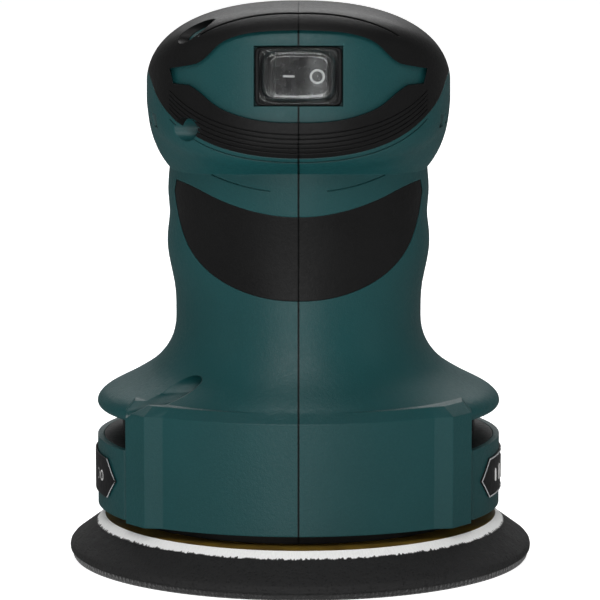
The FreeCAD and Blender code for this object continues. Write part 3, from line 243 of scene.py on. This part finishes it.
printedMark = {
    "color": (0.62, 0.62, 0.61), "shade": (0.52, 0.52, 0.51), "fleckColor": (0.40, 0.40, 0.40), "fleck": 0.3,
    "wearColor": (0.7, 0.7, 0.7), "wear": 0.2, "roughness": (0.35, 0.5), "grainScale": 2500.0,
    "grainDepth": 0.01 * mm, "edgeRadius": 0.05 * mm,
}
silverEdge = dict(printedMark, color=(0.42, 0.43, 0.44), shade=(0.34, 0.35, 0.36), roughness=(0.25, 0.4))


def foamBlock(name, look):
    # Closed-cell foam: open pores of two sizes, with a fine skin between them
    material, tree, shader, coords = blank(name, specular=0.3)
    cells, smallCells = (addNode(tree, "TexVoronoi", {"Vector": coords, "Scale": scale}).outputs["Distance"]
                         for scale in (look["poreScale"], look["poreScale"] * 2.7))
    skin = noise(tree, coords, look["poreScale"] * 0.35, 4.0, 0.7)
    pores = calc(tree, "ADD", spread(tree, cells, 0.0, 1.0, 0.05, 0.45),
                 spread(tree, smallCells, 0.0, 0.5, 0.05, 0.4))
    color = mixColor(tree, spread(tree, pores, 0.0, 1.0, 0.2, 1.3), look["poreColor"], look["color"])
    color = mixColor(tree, spread(tree, skin, 0.0, 0.6), color, look["dustColor"])
    height = calc(tree, "ADD", pores, calc(tree, "MULTIPLY", skin, 1.5))
    normal, _ = softEdges(tree, 0.5 * mm)
    bump = addNode(tree, "Bump", {"Height": height, "Distance": look["depth"], "Normal": normal}).outputs[0]
    tree.links.new(color, shader.inputs["Base Color"])
    tree.links.new(spread(tree, skin, 0.72, 0.92), shader.inputs["Roughness"])
    tree.links.new(bump, shader.inputs["Normal"])
    return material


padFoam = {"color": (0.0125, 0.0125, 0.0128), "poreColor": (0.0040, 0.0040, 0.0042),
           "dustColor": (0.0200, 0.0200, 0.0203), "poreScale": 1100.0, "depth": 0.16 * mm}


def hookCloth(name, look):
    # Rows of small hooks: a checked height field over a woven ground
    material, tree, shader, coords = blank(name, specular=0.3, sheen=0.3)
    rows = addNode(tree, "TexVoronoi", {"Vector": coords, "Scale": look["hookScale"], "Randomness": 0.35})
    weave = noise(tree, coords, look["hookScale"] * 2.0, 3.0)
    tuft = spread(tree, rows.outputs["Distance"], 1.0, 0.0, 0.05, 0.55)
    color = mixColor(tree, tuft, look["ground"], look["hookColor"])
    height = calc(tree, "ADD", tuft, weave)
    bump = addNode(tree, "Bump", {"Height": height, "Distance": look["depth"]}).outputs[0]
    tree.links.new(color, shader.inputs["Base Color"])
    tree.links.new(spread(tree, weave, 0.6, 0.85), shader.inputs["Roughness"])
    tree.links.new(bump, shader.inputs["Normal"])
    return material


hookGround = {"ground": (0.0060, 0.0060, 0.0062), "hookColor": (0.012, 0.012, 0.0124), "hookScale": 900.0,
              "depth": 0.25 * mm}


def fibreLaminate(name, look):
    # Amber board whose machined bevel shows pale broken fibres that run round it
    material, tree, shader, coords = blank(name, specular=0.5, coat=0.25)
    angle, z = roundAxis(tree, coords, padCentre)
    around = addNode(tree, "CombineXYZ", {0: calc(tree, "MULTIPLY", angle, look["fibresRound"]),
                                          1: calc(tree, "MULTIPLY", z, look["fibresUp"])}).outputs[0]
    fibre = noise(tree, around, 1.0, 4.0, 0.7)
    ragged = noise(tree, around, 0.42, 3.0, 0.7)
    cloudy = noise(tree, coords, 160.0, 3.0)
    slope = addNode(tree, "SeparateXYZ", {0: addNode(tree, "NewGeometry").outputs["Normal"]}).outputs[2]
    onBevel = spread(tree, slope, 1.0, 0.0, 0.90, 0.97)
    rimLow = calc(tree, "ADD", look["bevelLow"], calc(tree, "MULTIPLY", ragged, look["ragged"]))
    rimWhite = spread(tree, calc(tree, "SUBTRACT", z, rimLow), 0.0, 1.0, 0.0, 0.12 * mm)
    amber = mixColor(tree, spread(tree, cloudy, 0.0, 1.0), look["amber"], look["amberDeep"])
    amber = mixColor(tree, spread(tree, fibre, 0.0, 0.5, 0.45, 0.8), amber, look["amberGlint"])
    white = mixColor(tree, spread(tree, fibre, 0.0, 0.45, 0.35, 0.7), look["white"], look["whiteShade"])
    bevel = mixColor(tree, rimWhite, look["foamDust"], white)
    color = mixColor(tree, onBevel, amber, bevel)
    bump = addNode(tree, "Bump", {"Height": fibre, "Distance": look["depth"]}).outputs[0]
    tree.links.new(color, shader.inputs["Base Color"])
    tree.links.new(spread(tree, fibre, 0.30, 0.55), shader.inputs["Roughness"])
    tree.links.new(bump, shader.inputs["Normal"])
    return material


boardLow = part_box("pad_plate")[0][2]
padBoard = {
    "amber": (0.270, 0.165, 0.018), "amberDeep": (0.150, 0.085, 0.010), "amberGlint": (0.45, 0.31, 0.06),
    "white": (0.98, 0.98, 0.97), "whiteShade": (0.72, 0.72, 0.70), "foamDust": (0.014, 0.014, 0.014),
    "fibresRound": 170.0, "fibresUp": 900.0, "bevelLow": boardLow - 0.75 * mm, "ragged": 1.8 * mm,
    "depth": 0.08 * mm,
}


def clearRubber(name, look):
    # A clear soft cover: see-through face on, milky and glossy towards its edges
    material, tree, shader, coords = blank(name, specular=0.6, coat=0.6, coatRoughness=0.04)
    shader.inputs["Transmission Weight"].default_value = look["clear"]
    shader.inputs["IOR"].default_value = look["index"]
    facing = addNode(tree, "LayerWeight", {"Blend": look["edgeBlend"]}).outputs["Facing"]
    haze = noise(tree, coords, 260.0, 3.0)
    color = mixColor(tree, spread(tree, haze, 0.0, 1.0), look["color"], look["shade"])
    alpha = spread(tree, facing, look["alpha"][0], look["alpha"][1], 0.05, 0.9)
    ripple = noise(tree, coords, 420.0, 2.0)
    bump = addNode(tree, "Bump", {"Height": ripple, "Distance": 0.012 * mm}).outputs[0]
    tree.links.new(color, shader.inputs["Base Color"])
    tree.links.new(spread(tree, haze, 0.06, 0.14), shader.inputs["Roughness"])
    tree.links.new(alpha, shader.inputs["Alpha"])
    tree.links.new(bump, shader.inputs["Normal"])
    return material


switchCover = {"color": (0.80, 0.84, 0.84), "shade": (0.66, 0.70, 0.70), "alpha": (0.45, 0.85),
               "edgeBlend": 0.45, "clear": 1.0, "index": 1.42}

finishes = {
    "greenShell": grained("greenShell", greenShell),
    "gripRubber": grained("gripRubber", gripRubber),
    "neckRubber": grained("neckRubber", neckRubber),
    "blackNylon": grained("blackNylon", blackNylon),
    "boxNylon": grained("boxNylon", boxNylon),
    "rockerGloss": grained("rockerGloss", rockerGloss),
    "badgeGloss": grained("badgeGloss", badgeGloss),
    "sealRubber": grained("sealRubber", sealRubber),
    "carbonBlock": grained("carbonBlock", carbonBlock),
    "castAlloy": grained("castAlloy", castAlloy),
    "castIron": grained("castIron", castIron),
    "filterPaper": grained("filterPaper", filterPaper),
    "printedMark": grained("printedMark", printedMark),
    "silverEdge": grained("silverEdge", silverEdge),
    "ballSteel": brushed("ballSteel", ballSteel),
    "zincPlate": brushed("zincPlate", zincPlate),
    "sheetStack": brushed("sheetStack", sheetStack),
    "copperWire": brushed("copperWire", copperWire),
    "brassSheet": brushed("brassSheet", brassSheet),
    "padFoam": foamBlock("padFoam", padFoam),
    "hookCloth": hookCloth("hookCloth", hookGround),
    "padBoard": fibreLaminate("padBoard", padBoard),
    "switchCover": clearRubber("switchCover", switchCover),
}

nodeFinish = {
    "housing_left": "greenShell", "housing_right": "greenShell",
    "head_grip_left": "gripRubber", "head_grip_right": "gripRubber",
    "neck_grip_left": "neckRubber", "neck_grip_right": "neckRubber",
    "exhaust_ring": "blackNylon", "switch_body": "blackNylon", "cord_gland": "sealRubber",
    "dust_spigot": "blackNylon", "fan": "blackNylon", "brake_ring": "sealRubber",
    "switch_terminals": "brassSheet", "brush_holders": "brassSheet", "switch_rocker": "rockerGloss",
    "side_badge_left": "badgeGloss", "side_badge_right": "badgeGloss", "suppression_capacitor": "badgeGloss",
    "field_core": "sheetStack", "armature_core": "sheetStack", "field_coils": "copperWire",
    "armature_windings": "copperWire", "commutator": "copperWire", "carbon_brushes": "carbonBlock",
    "brush_springs": "ballSteel", "motor_shaft": "ballSteel", "upper_bearing_outer": "ballSteel",
    "lower_bearing_outer": "ballSteel", "pad_bearing_outer": "ballSteel", "upper_bearing_inner": "ballSteel",
    "lower_bearing_inner": "ballSteel", "pad_bearing_inner": "ballSteel", "bearing_bridge": "castAlloy",
    "eccentric_hub": "castAlloy", "pad_spindle": "castAlloy", "counterweight": "castIron",
    "housing_screws": "zincPlate", "pad_screws": "zincPlate", "pad_plate": "padBoard", "pad_foam": "padFoam",
    "hook_face": "hookCloth", "dust_box": "boxNylon", "dust_box_lid": "boxNylon", "lid_seal": "sealRubber",
    "dust_filter": "filterPaper",
}
print("stage 2: finishes made,", len(finishes))


def smoothingGroup(limitDegrees):
    # Joins the loose triangles and shades them smooth except across edges sharper than the limit
    group = bpy.data.node_groups.new("smoothFlanks", "GeometryNodeTree")
    group.interface.new_socket("Geometry", in_out="INPUT", socket_type="NodeSocketGeometry")
    group.interface.new_socket("Geometry", in_out="OUTPUT", socket_type="NodeSocketGeometry")
    enter = group.nodes.new("NodeGroupInput")
    leave = group.nodes.new("NodeGroupOutput")
    weld = group.nodes.new("GeometryNodeMergeByDistance")
    weld.inputs["Distance"].default_value = 0.001 * mm
    faces = group.nodes.new("GeometryNodeSetShadeSmooth")
    faces.domain = "FACE"
    edges = group.nodes.new("GeometryNodeSetShadeSmooth")
    edges.domain = "EDGE"
    edges.inputs["Shade Smooth"].default_value = False
    angle = group.nodes.new("GeometryNodeInputMeshEdgeAngle")
    sharp = group.nodes.new("FunctionNodeCompare")
    sharp.operation = "GREATER_THAN"
    sharp.inputs[1].default_value = math.radians(limitDegrees)
    links = group.links
    links.new(angle.outputs["Unsigned Angle"], sharp.inputs[0])
    links.new(enter.outputs[0], weld.inputs[0])
    links.new(weld.outputs[0], faces.inputs["Geometry"])
    links.new(faces.outputs[0], edges.inputs["Geometry"])
    links.new(sharp.outputs[0], edges.inputs["Selection"])
    links.new(edges.outputs[0], leave.inputs[0])
    return group


sharpDegrees = 18.0
smoothFlanks = smoothingGroup(sharpDegrees)
for nodeName, finishName in nodeFinish.items():
    node = nodes[nodeName]
    node.data.materials.clear()
    node.data.materials.append(finishes[finishName])
    modifier = node.modifiers.new("smoothFlanks", "NODES")
    modifier.node_group = smoothFlanks
    # Large faces stay flat beside rounded edges
    levelled = node.modifiers.new("flatFaces", "WEIGHTED_NORMAL")
    levelled.weight = 100
    levelled.keep_sharp = True
print("stage 3: finishes on the CAD nodes")


def gridPiece(name, points, body, finish, closed=(False, False)):
    # A grid of points becomes quads; closed says which of its two directions joins up again
    rows, columns = points.shape[:2]
    index = np.arange(rows * columns).reshape(rows, columns)
    if closed[0]:
        index = np.concatenate([index, index[:1]], axis=0)
    if closed[1]:
        index = np.concatenate([index, index[:, :1]], axis=1)
    corners = [index[:-1, :-1], index[1:, :-1], index[1:, 1:], index[:-1, 1:]]
    quads = np.stack(corners, axis=-1).reshape(-1, 4)
    mesh = bpy.data.meshes.new(name)
    mesh.from_pydata(points.reshape(-1, 3), [], quads.tolist())
    tidy = bmesh.new()
    tidy.from_mesh(mesh)
    bmesh.ops.remove_doubles(tidy, verts=tidy.verts, dist=0.002 * mm)
    bmesh.ops.recalc_face_normals(tidy, faces=tidy.faces)
    tidy.to_mesh(mesh)
    tidy.free()
    mesh.polygons.foreach_set("use_smooth", np.ones(len(mesh.polygons), bool))
    mesh.materials.append(finishes[finish])
    piece = bpy.data.objects.new(name, mesh)
    bpy.context.scene.collection.objects.link(piece)
    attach(piece, body)
    return piece


def turnAboutX(points, degrees):
    # y' = y cos - z sin, z' = y sin + z cos
    c, s = math.cos(math.radians(degrees)), math.sin(math.radians(degrees))
    x, y, z = np.moveaxis(points, -1, 0)
    return np.stack([x, y * c - z * s, y * s + z * c], axis=-1)


def turnAboutY(points, degrees):
    # x' = x cos + z sin, z' = -x sin + z cos
    c, s = math.cos(math.radians(degrees)), math.sin(math.radians(degrees))
    x, y, z = np.moveaxis(points, -1, 0)
    return np.stack([x * c + z * s, y, z * c - x * s], axis=-1)


endSteepness = 9  # how quickly a bar's outline crosses from one round end to the other


def stadium(halfLength, halfWidth, share, samples):
    # Lengthwise and crosswise offsets of a bar with round ends, on its middle line where share is 0
    angle = np.linspace(0, 2 * np.pi, samples, endpoint=False)[:, None]
    core = np.clip(np.cos(angle) * endSteepness, -1, 1) * (halfLength - halfWidth)
    return core + halfWidth * np.cos(angle) * share[None, :], halfWidth * np.sin(angle) * share[None, :]


def roundBand(inner, outer, share, samples):
    # A ring's offsets: share runs from its inside edge at 0 to its outside edge at 1
    angle = np.linspace(0, 2 * np.pi, samples, endpoint=False)[:, None]
    radius = inner + (outer - inner) * share[None, :]
    return radius * np.cos(angle), radius * np.sin(angle)


rockJoint = next(joint for joint in frame["joints"] if joint["name"] == "switch_rock")
faceTilt = 90 - 8
rockerTilt = 11
rockerMarks = {"dishLow": 2.4, "dishRise": 1.4, "halfWidth": 6.9, "lift": 0.03, "thick": 0.07, "sunk": 0.05,
               "ringAt": 4.35, "ringOuter": 1.9, "ringInner": 1.35, "dashAt": -3.1, "dashHalf": (1.6, 0.28)}


def onRocker(across, up, lift):
    # Height over the pivot follows the rocker's dish: low + rise (x / half)^2; then the switch's own turns
    dish = rockerMarks["dishRise"] * (across / rockerMarks["halfWidth"]) ** 2
    points = np.stack([across, up, rockerMarks["dishLow"] + dish + lift], axis=-1) * mm
    return turnAboutX(turnAboutY(points, rockerTilt), faceTilt) + np.array(rockJoint["pos_m"])


def markProfile():
    # Four corners of a thin band's section: how far from its inside edge to its outside, and its height
    low = rockerMarks["lift"] - rockerMarks["sunk"]
    high = rockerMarks["lift"] + rockerMarks["thick"]
    return np.array([0.0, 1.0, 1.0, 0.0]), np.array([low, low, high, high])


def ringMark():
    share, lift = markProfile()
    across, up = roundBand(rockerMarks["ringInner"], rockerMarks["ringOuter"], share, 64)
    return onRocker(rockerMarks["ringAt"] + across, up, np.broadcast_to(lift, up.shape))


def dashMark():
    share, lift = markProfile()
    across, up = stadium(*rockerMarks["dashHalf"], share, 48)
    return onRocker(rockerMarks["dashAt"] + across, up, np.broadcast_to(lift, up.shape))


gridPiece("rockerOffMark", ringMark(), "rocker", "printedMark", (True, True))
gridPiece("rockerOnMark", dashMark(), "rocker", "printedMark", (True, False))

badgeLook = {
    "radius": 54.89, "border": 0.42, "raise": 0.14, "samples": 40, "pointRun": 1.06, "pointInset": 1.25,
    "markHigh": 0.16, "markSunk": 0.05, "barPlaces": np.arange(-15.0, 15.1, 5.0), "barTall": 3.0,
    "barTaper": 0.08, "barHalf": 0.55, "ringPlaces": np.arange(-16.0, 16.1, 4.0), "ring": (1.0, 1.5),
}


def onDrum(along, level, lift, side):
    # Arc length round the drum from its side, and height, wrapped onto the drum's radius plus a lift
    radius = badgeLook["radius"] + lift
    angle = along / badgeLook["radius"]
    return np.stack([side * radius * np.cos(angle), radius * np.sin(angle), level], axis=-1) * mm


def hexagonLoop(halfLength, halfHeight, samples):
    # Points spaced round a hexagon whose ends are pointed: straight runs between its corners
    flat = halfLength - halfHeight * badgeLook["pointRun"]
    corners = np.array([[-halfLength, 0], [-flat, halfHeight], [flat, halfHeight], [halfLength, 0],
                        [flat, -halfHeight], [-flat, -halfHeight], [-halfLength, 0]])
    place = np.linspace(0, 6, 6 * samples, endpoint=False)
    return np.interp(place, np.arange(7), corners[:, 0]), np.interp(place, np.arange(7), corners[:, 1])


def badgeBorder(side):
    # The hexagon's outline carried across a small half-round section, wrapped on the drum
    low, high = (np.array(corner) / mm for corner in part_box("side_badge_right"))
    middle, halfHeight = (low[2] + high[2]) / 2, (high[2] - low[2]) / 2
    halfLength = math.asin(high[1] / badgeLook["radius"]) * badgeLook["radius"]
    turn = np.linspace(0, 2 * np.pi, 10, endpoint=False)
    inset = badgeLook["border"] * (0.55 - 0.5 * np.cos(turn))
    lift = badgeLook["raise"] * np.sin(turn) * np.where(np.sin(turn) > 0, 1.0, 0.25)
    loops = [hexagonLoop(halfLength - badgeLook["pointInset"] * drawnIn, halfHeight - drawnIn,
                         badgeLook["samples"]) for drawnIn in inset]
    along = np.stack([loop[0] for loop in loops], axis=1)
    level = np.stack([loop[1] for loop in loops], axis=1) + middle
    return onDrum(along, level, np.broadcast_to(lift, along.shape), side)


def badgeMark(outline, along, side, edge=1.0):
    # An outline's four loops, raised as a low flat-topped mark and wrapped on the drum
    share = np.array([0.0, 1.0, edge, 0.0])
    lift = np.array([-badgeLook["markSunk"]] * 2 + [badgeLook["markHigh"]] * 2)
    across, up = outline(share)
    return onDrum(along + across, badgeMiddle + up, np.broadcast_to(lift, up.shape), side)


badgeMiddle = float(centreOf("side_badge_right")[2] / mm)
for sideName, side in (("Right", 1), ("Left", -1)):
    border = badgeBorder(side)
    gridPiece("badgeBorder" + sideName, border, "housing", "silverEdge", (True, True))
for number, along in enumerate(badgeLook["barPlaces"]):
    halfTall = badgeLook["barTall"] - badgeLook["barTaper"] * abs(along)
    bar = badgeMark(lambda share: stadium(halfTall, badgeLook["barHalf"], share, 40)[::-1], along, 1, 0.9)
    gridPiece(f"badgeBarRight{number}", bar, "housing", "printedMark", (True, False))
for number, along in enumerate(badgeLook["ringPlaces"]):
    ring = badgeMark(lambda share: roundBand(*badgeLook["ring"], share, 40), along, -1)
    gridPiece(f"badgeRingLeft{number}", ring, "housing", "printedMark", (True, True))

coverLook = {"samples": 96, "wallCorner": 0.42, "flangeCorner": 0.30, "frameCorner": 0.16, "overPivot": 6.0}


def onSwitchFace(sizes, power):
    # Superellipse loops (half width, half height, height over the face), turned onto the switch face
    angle = np.linspace(0, 2 * np.pi, coverLook["samples"], endpoint=False)[None, :]
    c, s = np.cos(angle), np.sin(angle)
    across = sizes[:, :1] * np.sign(c) * np.abs(c) ** power[:, None]
    up = sizes[:, 1:2] * np.sign(s) * np.abs(s) ** power[:, None]
    height = np.broadcast_to(sizes[:, 2:] + coverLook["overPivot"], across.shape)
    return turnAboutX(np.stack([across, up, height], axis=-1) * mm, faceTilt) + np.array(rockJoint["pos_m"])


def switchCoverShell():
    # Rounded loops stacked along a section that runs from the middle of the top over the rim, down the
    # wall, round the flange and back up inside: (half width, half height, height over the face)
    outside = [(0.0, 0.0, 0.62), (2.0, 1.4, 0.62), (7.3, 4.80, 0.62), (7.6, 5.05, 0.622), (7.9, 5.30, 0.69),
               (8.3, 5.65, 0.84), (8.7, 6.0, 0.86), (9.05, 6.28, 0.72), (9.25, 6.45, 0.30), (9.5, 6.62, -1.0),
               (9.75, 6.85, -2.6), (10.0, 7.0, -3.05)]
    flange = [(11.0, 7.4, -3.12), (11.1, 7.5, -3.3), (11.1, 7.5, -3.7), (11.0, 7.4, -3.92)]
    inside = [(9.3, 6.4, -3.92), (9.1, 6.25, -2.6), (8.9, 6.05, -0.4), (8.7, 5.9, -0.05), (8.4, 5.65, 0.08),
              (8.2, 5.5, 0.08), (2.0, 1.4, 0.08), (0.0, 0.0, 0.08)]
    sizes = np.array(outside + flange + inside)
    power = np.full(len(sizes), coverLook["wallCorner"])
    power[len(outside):len(outside) + len(flange)] = coverLook["flangeCorner"]
    return onSwitchFace(sizes, power)


def switchFrameBand():
    # A flat frame with round corners that fills the opening round the cover
    inner, outer, top, bottom = (10.15, 7.15), (11.3, 7.6), -2.85, -3.05
    sizes = np.array([(*inner, top), (*outer, top), (*outer, bottom), (*inner, bottom)])
    return onSwitchFace(sizes, np.full(4, coverLook["frameCorner"]))


coverShell = switchCoverShell()
clearCover = gridPiece("clearCover", coverShell, "housing", "switchCover", (False, True))
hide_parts("switch_boot")
gridPiece("switchFrame", switchFrameBand(), "housing", "blackNylon", (True, True))

boxLook = {
    "ribLevels": (24.0, 29.0, 34.0, 39.0, 44.0), "ribHalf": (14.5, 0.85), "ribHigh": 0.55, "ribForward": 2.0,
    "ridgeLevels": (22.0, 25.5, 29.0, 32.5, 36.0), "ridgeHalf": (13.0, 1.0), "ridgeHigh": 0.8,
    "latchHalf": (5.2, 6.5, 1.0), "latchRound": 0.28, "latchOut": 0.9, "latchBack": 0.2, "latchDrop": 4.0,
    "gripShifts": (-2.6, 0.0, 2.6), "gripHalf": (2.6, 0.5), "gripHigh": 0.4, "gripOut": 1.85,
    "gripBack": 1.4, "sunk": 0.12,
}


def raisedBar(centre, along, across, out, halves, high):
    # A stadium outline drawn in towards its middle line while it rises as a quarter circle does
    turn = np.linspace(0, np.pi / 2, 7)
    u, v = stadium(*halves, np.concatenate([[1.0], np.cos(turn)]), 48)
    w = np.broadcast_to(np.concatenate([[-boxLook["sunk"]], high * np.sin(turn)]), u.shape)
    axes = [np.array(axis, float) for axis in (along, across, out)]
    places = u[..., None] * axes[0] + v[..., None] * axes[1] + w[..., None] * axes[2]
    return (places + np.array(centre)) * mm


def latchTab(centre, out):
    # Superellipse loops stacked outwards: small at both faces, full between them
    halfLong, halfTall, halfThick = boxLook["latchHalf"]
    edge = boxLook["latchRound"]
    share = np.array([0.0, 1 - edge * 0.5, 1 - edge * 0.15, 1.0, 1.0, 1 - edge * 0.15, 1 - edge * 0.5, 0.0])
    lift = np.array([-1.0, -1.0, -0.85, -0.5, 0.5, 0.85, 1.0, 1.0]) * halfThick
    angle = np.linspace(0, 2 * np.pi, 64, endpoint=False)[:, None]
    c, s = np.cos(angle), np.sin(angle)
    u = halfLong * np.sign(c) * np.abs(c) ** 0.4 * share[None, :]
    v = halfTall * np.sign(s) * np.abs(s) ** 0.4 * share[None, :]
    w = np.broadcast_to(lift * out, u.shape)
    return (np.stack([w, u, v], axis=-1) + np.array(centre)) * mm


binLow, binHigh = (np.array(corner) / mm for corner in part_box("dust_box"))
lidHigh = np.array(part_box("dust_box_lid")[1]) / mm
binMiddle = (binLow + binHigh) / 2
for sideName, side in (("Right", 1), ("Left", -1)):
    for number, level in enumerate(boxLook["ribLevels"]):
        place = (side * binHigh[0], binMiddle[1] - boxLook["ribForward"], level)
        rib = raisedBar(place, (0, 1, 0), (0, 0, 1), (side, 0, 0), boxLook["ribHalf"], boxLook["ribHigh"])
        gridPiece(f"binRib{sideName}{number}", rib, "dust_box", "boxNylon", (True, False))
    latchLevel = binMiddle[2] - boxLook["latchDrop"]
    place = (side * (binHigh[0] + boxLook["latchOut"]), binHigh[1] + boxLook["latchBack"], latchLevel)
    latch = latchTab(place, side)
    gridPiece("lidLatch" + sideName, latch, "dust_lid", "blackNylon", (True, False))
    for number, shift in enumerate(boxLook["gripShifts"]):
        gripX, gripY = side * (binHigh[0] + boxLook["gripOut"]), binHigh[1] + boxLook["gripBack"]
        grip = raisedBar((gripX, gripY, latchLevel + shift), (0, 1, 0), (0, 0, 1), (side, 0, 0),
                         boxLook["gripHalf"], boxLook["gripHigh"])
        pieceName = f"latchGrip{sideName}{number}"
        gridPiece(pieceName, grip, "dust_lid", "blackNylon", (True, False))
for number, level in enumerate(boxLook["ridgeLevels"]):
    ridge = raisedBar((0.0, lidHigh[1], level), (1, 0, 0), (0, 0, 1), (0, 1, 0), boxLook["ridgeHalf"],
                      boxLook["ridgeHigh"])
    gridPiece(f"lidRidge{number}", ridge, "dust_lid", "boxNylon", (True, False))
print("stage 4: marks, badges and dust box details made")


floorLook = {"half": 30.0, "grainScale": 900.0, "glow": 0.91}


def addFloor():
    mesh = bpy.data.meshes.new("paleFloor")
    half = floorLook["half"]
    corners = [(-half, -half, 0), (half, -half, 0), (half, half, 0), (-half, half, 0)]
    mesh.from_pydata(corners, [], [(0, 1, 2, 3)])
    floor = bpy.data.objects.new("paleFloor", mesh)
    bpy.context.scene.collection.objects.link(floor)
    material, tree, shader, coords = blank("palePaper", specular=0.1)
    grain = noise(tree, coords, floorLook["grainScale"], 2.0)
    tree.links.new(mixColor(tree, spread(tree, grain, 0.0, 1.0), (0.62, 0.62, 0.62), (0.60, 0.60, 0.60)),
                   shader.inputs["Base Color"])
    shader.inputs["Roughness"].default_value = 0.9
    shader.inputs["Emission Color"].default_value = (1.0, 1.0, 1.0, 1.0)
    shader.inputs["Emission Strength"].default_value = floorLook["glow"]
    mesh.materials.append(material)
    floor.visible_glossy = False  # the flanks keep their depth instead of mirroring the paper


# Each soft box: its place, the length of its side, and its power
softBoxes = {
    "frontBox": ((-0.10, -1.05, 1.05), 0.50, 8.0),
    "lowBox": ((-0.08, -1.35, 0.12), 0.45, 6.0),
    "leftBox": ((-1.25, -0.35, 0.55), 0.50, 0.6),
    "rightBox": ((1.25, -0.35, 0.55), 0.50, 0.5),
    "crownBox": ((0.0, 0.85, 1.05), 1.10, 14.0),
}
boxAim = (0.0, 0.0, 0.08)
roomGlow = 0.14


def addLight(name, place, span, power):
    # A square soft box that faces the middle of the object
    light = bpy.data.lights.new(name, "AREA")
    light.shape = "SQUARE"
    light.size = span
    light.energy = power
    holder = bpy.data.objects.new(name, light)
    bpy.context.scene.collection.objects.link(holder)
    aim = np.array(boxAim) - np.array(place)
    holder.rotation_euler = Vector(aim).to_track_quat("-Z", "Y").to_euler()
    holder.location = place


addFloor()
for name, (place, span, power) in softBoxes.items():
    addLight(name, place, span, power)

scene = bpy.context.scene
world = bpy.data.worlds.new("paleRoom")
world.use_nodes = True
background = world.node_tree.nodes["Background"]
background.inputs["Color"].default_value = (1.0, 1.0, 1.0, 1.0)
background.inputs["Strength"].default_value = roomGlow
scene.world = world
scene.view_settings.view_transform = "Standard"

cameraLook = {"place": (0.0, -1.076, 0.229), "aim": (0.0, 0.0, 0.069), "lens": 241.5, "shift": 0.0025}
cameraData = bpy.data.cameras.new("bench")
cameraData.lens = cameraLook["lens"]
cameraData.shift_x = cameraLook["shift"]
camera = bpy.data.objects.new("bench", cameraData)
scene.collection.objects.link(camera)
camera.location = cameraLook["place"]
sight = Vector(np.array(cameraLook["aim"]) - np.array(cameraLook["place"]))
camera.rotation_euler = sight.to_track_quat("-Z", "Y").to_euler()
scene.camera = camera
print("stage 5: floor, light and camera")
